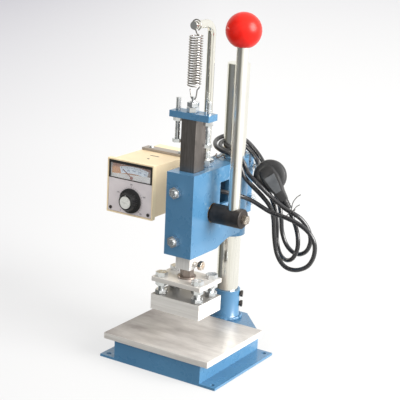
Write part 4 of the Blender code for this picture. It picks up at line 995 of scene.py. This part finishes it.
def make_welds():
    socket_r, bead = 0.0172, 0.0026
    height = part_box("column_socket")[0].z + 0.0016
    ring = []
    for step in range(85):
        angle = 2 * math.pi * step / 84
        across = socket_r + bead + 0.0003 * math.sin(5 * angle) + 0.0002 * math.sin(11 * angle + 1)
        ring.append((across * math.cos(angle), across * math.sin(angle), height))
    make_bead("socket_weld", "base", ring, 0.0017, closed=True)
    seam_low, seam_high = 0.1470, 0.2392
    for name, side in (("seam_weld_left", -1), ("seam_weld_right", 1)):
        line = []
        for step in range(64):
            height = seam_low + (seam_high - seam_low) * step / 63
            line.append((side * 0.01785, -0.0071 + 0.0002 * math.sin(step * 0.6), height))
        make_bead(name, "head", line, 0.00125)


# Controller detail ----------------------------------------------------------------------
KNOB_X, KNOB_Z = -0.1171, 0.1712
KNOB_SCALE_R = 0.0173
BAND_R = 0.085               # radius of the meter's printed scale band
BAND_HALF = 14.5             # half of the angle that the band covers, in degrees
CASE_X = -0.119
TERMINAL_PITCH = 0.009
DIAL_NUMBERS = ("0", "100", "200", "300", "400")


def arc(centre_x, centre_y, radius, start, end, steps):
    """Points of an arc in a plane, between two angles in degrees."""
    points = []
    for step in range(steps + 1):
        angle = math.radians(start + (end - start) * step / steps)
        points.append((centre_x + radius * math.cos(angle), centre_y + radius * math.sin(angle)))
    return points


def number(name, text, size, place, slot, finish):
    """One small generic dial number, standing in the XZ plane and facing -Y."""
    curve = bpy.data.curves.new(name, "FONT")
    curve.body = text
    curve.size = size
    curve.align_x = "CENTER"
    curve.align_y = "CENTER"
    curve.extrude = 0.00004
    source = link(bpy.data.objects.new(name + "_text", curve))
    bpy.context.view_layer.update()
    evaluated = source.evaluated_get(bpy.context.evaluated_depsgraph_get())
    mesh = bpy.data.meshes.new_from_object(evaluated)
    bpy.data.objects.remove(source, do_unlink=True)
    mesh.transform(Matrix.Translation(place) @ Matrix.Rotation(math.radians(90), 4, "X"))
    mesh.materials.clear()
    piece(name, mesh, slot, "head", finish)


def make_ticks(name, slot, origin, radius, degrees, every, long, short, front, back):
    """Marks of a scale round a point; long and short are a mark's length and half width."""
    bm = bmesh.new()
    for index, degree in enumerate(degrees):
        length, half_width = short if index % every else long
        angle = math.radians(degree)
        outward = Vector((math.cos(angle), 0, math.sin(angle)))
        across = Vector((-outward.z, 0, outward.x)) * half_width
        base = origin + outward * radius
        tip = base + outward * length
        outline = [base - across, tip - across, tip + across, base + across]
        slab(bm, [(p.x, p.z) for p in outline], front, back)
    piece(name, bm, slot, "head", INK)


def make_meter():
    """Frame, coloured card, printed band, scale ticks and numbers of the meter."""
    low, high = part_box("meter_window")
    left, right = low.x + 0.0026, high.x - 0.0026
    bottom, top = low.z + 0.0009, high.z - 0.0034
    outer = rectangle(low.x, high.x, low.z, high.z)
    inner = rectangle(left, right, bottom, top)
    front, back = low.y - 0.0004, low.y - 0.00002
    loops = []
    for outline, y in ((outer, front), (inner, front), (inner, back), (outer, back)):
        loops.append([(x, y, z) for x, z in outline])
    bm = bmesh.new()
    loft(bm, loops, closed=True)
    piece("meter_frame", bm, "black_plastic", "head", DARK)

    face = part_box("meter_scale")[0].y
    left, right = left - 0.0004, right + 0.0004
    bm = bmesh.new()
    card = rectangle(left, right, bottom - 0.0004, top + 0.0004)
    slab(bm, card, face - 0.00012, face - 0.00002)
    piece("meter_card", bm, "dial_white", "head", amber_card())

    middle_x = (left + right) / 2 + 0.0032
    turn_z = low.z + 0.0138 - BAND_R
    band = arc(middle_x, turn_z, BAND_R + 0.0040, 90 + BAND_HALF, 90 - BAND_HALF, 20)
    band += arc(middle_x, turn_z, BAND_R - 0.0050, 90 - BAND_HALF, 90 + BAND_HALF, 20)
    bm = bmesh.new()
    slab(bm, band, face - 0.00024, face - 0.00010)
    piece("meter_band", bm, "dial_white", "head")

    shelf = [(left, low.z + 0.0002), (left, low.z + 0.0052)]
    shelf += [(right, low.z + 0.0086), (right, low.z + 0.0002)]
    bm = bmesh.new()
    slab(bm, shelf, face - 0.00034, face - 0.00022)
    piece("meter_shelf", bm, "dial_white", "head", SILVER)

    make_ticks(
        "meter_ticks",
        "dial_white",
        Vector((middle_x, 0, turn_z)),
        BAND_R + 0.0012,
        [90 + (BAND_HALF - 1.6) * (1 - index / 10) for index in range(21)],
        every=5,
        long=(0.0026, 0.00030),
        short=(0.0015, 0.00016),
        front=face - 0.00032,
        back=face - 0.00022,
    )
    reach = BAND_R - 0.0014
    for index, text in enumerate(DIAL_NUMBERS):
        angle = math.radians(90 + (BAND_HALF - 2.2) * (1 - index / 2))
        x = middle_x + reach * math.cos(angle)
        z = turn_z + reach * math.sin(angle)
        place = (x, face - 0.00030, z)
        number(f"meter_number_{text}", text, 0.0034, place, "dial_white", BLUE_INK)


def make_panel_marks():
    """Scale round the temperature knob, and the knob's own pointer and grip ribs."""
    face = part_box("front_panel")[0].y
    axis = Vector((KNOB_X, 0.0, KNOB_Z))
    make_ticks(
        "panel_ticks",
        "panel_grey",
        axis,
        KNOB_SCALE_R,
        [225 - 11.25 * index for index in range(25)],
        every=6,
        long=(0.0020, 0.00025),
        short=(0.0011, 0.00014),
        front=face - 0.00010,
        back=face - 0.00001,
    )
    for index, text in enumerate(DIAL_NUMBERS):
        angle = math.radians(225 - 67.5 * index)
        x, z = KNOB_X + 0.0222 * math.cos(angle), KNOB_Z + 0.0212 * math.sin(angle)
        place = (x, face - 0.00006, z)
        number(f"panel_number_{text}", text, 0.0027, place, "panel_grey", INK)

    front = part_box("set_knob")[0].y
    bm = bmesh.new()
    pointer = rectangle(KNOB_X - 0.0004, KNOB_X + 0.0004, KNOB_Z + 0.0085, KNOB_Z + 0.0096)
    slab(bm, pointer, front - 0.00012, front + 0.0002)
    piece("knob_pointer", bm, "black_plastic", "knob", WHITE_INK)
    bm = bmesh.new()
    for index in range(30):
        angle = 2 * math.pi * index / 30
        outward = Vector((math.cos(angle), 0, math.sin(angle)))
        profile = ((0.0107, 0.0010), (0.0108, 0.0018), (0.0127, 0.0080), (0.0127, 0.0088))
        line = [axis + outward * reach + Y_AXIS * (front + depth) for reach, depth in profile]
        sweep(bm, line, [0.0002, 0.00055, 0.00055, 0.0002], 6)
    piece("knob_ribs", bm, "black_plastic", "knob", smooth=50)


def make_case_marks():
    """Vent slot and small inspection dot on top of the case, terminal screws behind."""
    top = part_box("controller_case")[1].z
    bm = bmesh.new()
    vent = arc(-0.1245, -0.0025, 0.0010, 90, 270, 8) + arc(-0.1125, -0.0025, 0.0010, -90, 90, 8)
    dot = arc(-0.1165, -0.0200, 0.0017, 0, 345, 23)
    for outline in (vent, dot):
        loft(bm, [[(x, y, z) for x, y in outline] for z in (top + 0.00015, top - 0.0003)])
    piece("case_slot", bm, "black_plastic", "head", DARK)

    low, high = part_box("terminal_block")
    seat = high.y - 0.0046
    turn = Matrix.Rotation(math.radians(-90), 3, "X")
    bm = bmesh.new()
    for index in range(6):
        x = CASE_X + (index - 2.5) * TERMINAL_PITCH
        for radius, start, end in ((0.0026, 0, 0.0009), (0.0021, 0.0009, 0.0014)):
            cone = {"radius1": radius, "radius2": radius * 0.9, "depth": end - start}
            made = bmesh.ops.create_cone(bm, cap_ends=True, segments=20, **cone)["verts"]
            bmesh.ops.rotate(bm, matrix=turn, verts=made)
            place = (x, seat + (start + end) / 2, low.z + 0.0095)
            bmesh.ops.translate(bm, vec=place, verts=made)
    piece("terminal_screws", bm, "zinc", "head", smooth=40)


def make_floor():
    """Wide paper floor with painted light and shade: it glows by its own emission, which lifts the
    shadows on it, and a painted shade makes it greyer and cooler to the far left, where the light
    falls off.
    """
    f = Finish("floor_paper")
    x, y = f.place("X"), f.place("Y")
    left = f.plus(f.times(x, -0.849), f.times(y, -0.528))
    away = f.plus(f.times(x, -0.528), f.times(y, 0.849))
    # painted shade: the floor greys towards the far left and the far back, as the light falls off
    shade = f.plus(f.spread(left, 0.0, 1.0, 0.0, 0.75), f.spread(away, 1.0, 4.4, 0.0, 0.45))
    tone = f.mix(shade, (0.95, 0.95, 0.95), (0.58, 0.572, 0.615))
    tone = f.fade(f.noise(900.0), 0.3, 0.7, tone, (0.8, 0.8, 0.8), 0.02)
    f.surface(f.mix(0.78, tone, (0.0, 0.0, 0.0)), 0.9)
    f.set("Specular IOR Level", 0.1)
    # painted light: the floor glows by emission, which lifts the shadows on it
    f.set("Emission Color", tone)
    f.set("Emission Strength", 0.70)
    bm = bmesh.new()
    reach = 14
    corners = ((-reach, -reach), (reach, -reach), (reach, reach), (-reach, reach))
    bm.faces.new([bm.verts.new((x, y, 0.0)) for x, y in corners])
    mesh = bpy.data.meshes.new("floor")
    bm.to_mesh(mesh)
    bm.free()
    mesh.materials.append(f.material)
    floor = link(bpy.data.objects.new("floor", mesh))
    floor.location.z = -0.0004
    floor.visible_glossy = False
    floor.visible_diffuse = False


make_camera()
make_world()
make_floor()
broad_light("key", (0.92, 0.08, 0.39), 42.0, 6.2, (1.0, 0.99, 0.965))
fill = broad_light("fill", (-0.15, -0.93, 0.33), 75.0, 1.65, (0.97, 0.98, 1.0))
fill.visible_glossy = False
make_plug()
make_tie()
make_loose_wire()
make_cord()
dress_nodes()
make_spring()
make_threads()
make_welds()
make_meter()
make_panel_marks()
make_case_marks()
bpy.context.scene.view_settings.view_transform = "Standard"
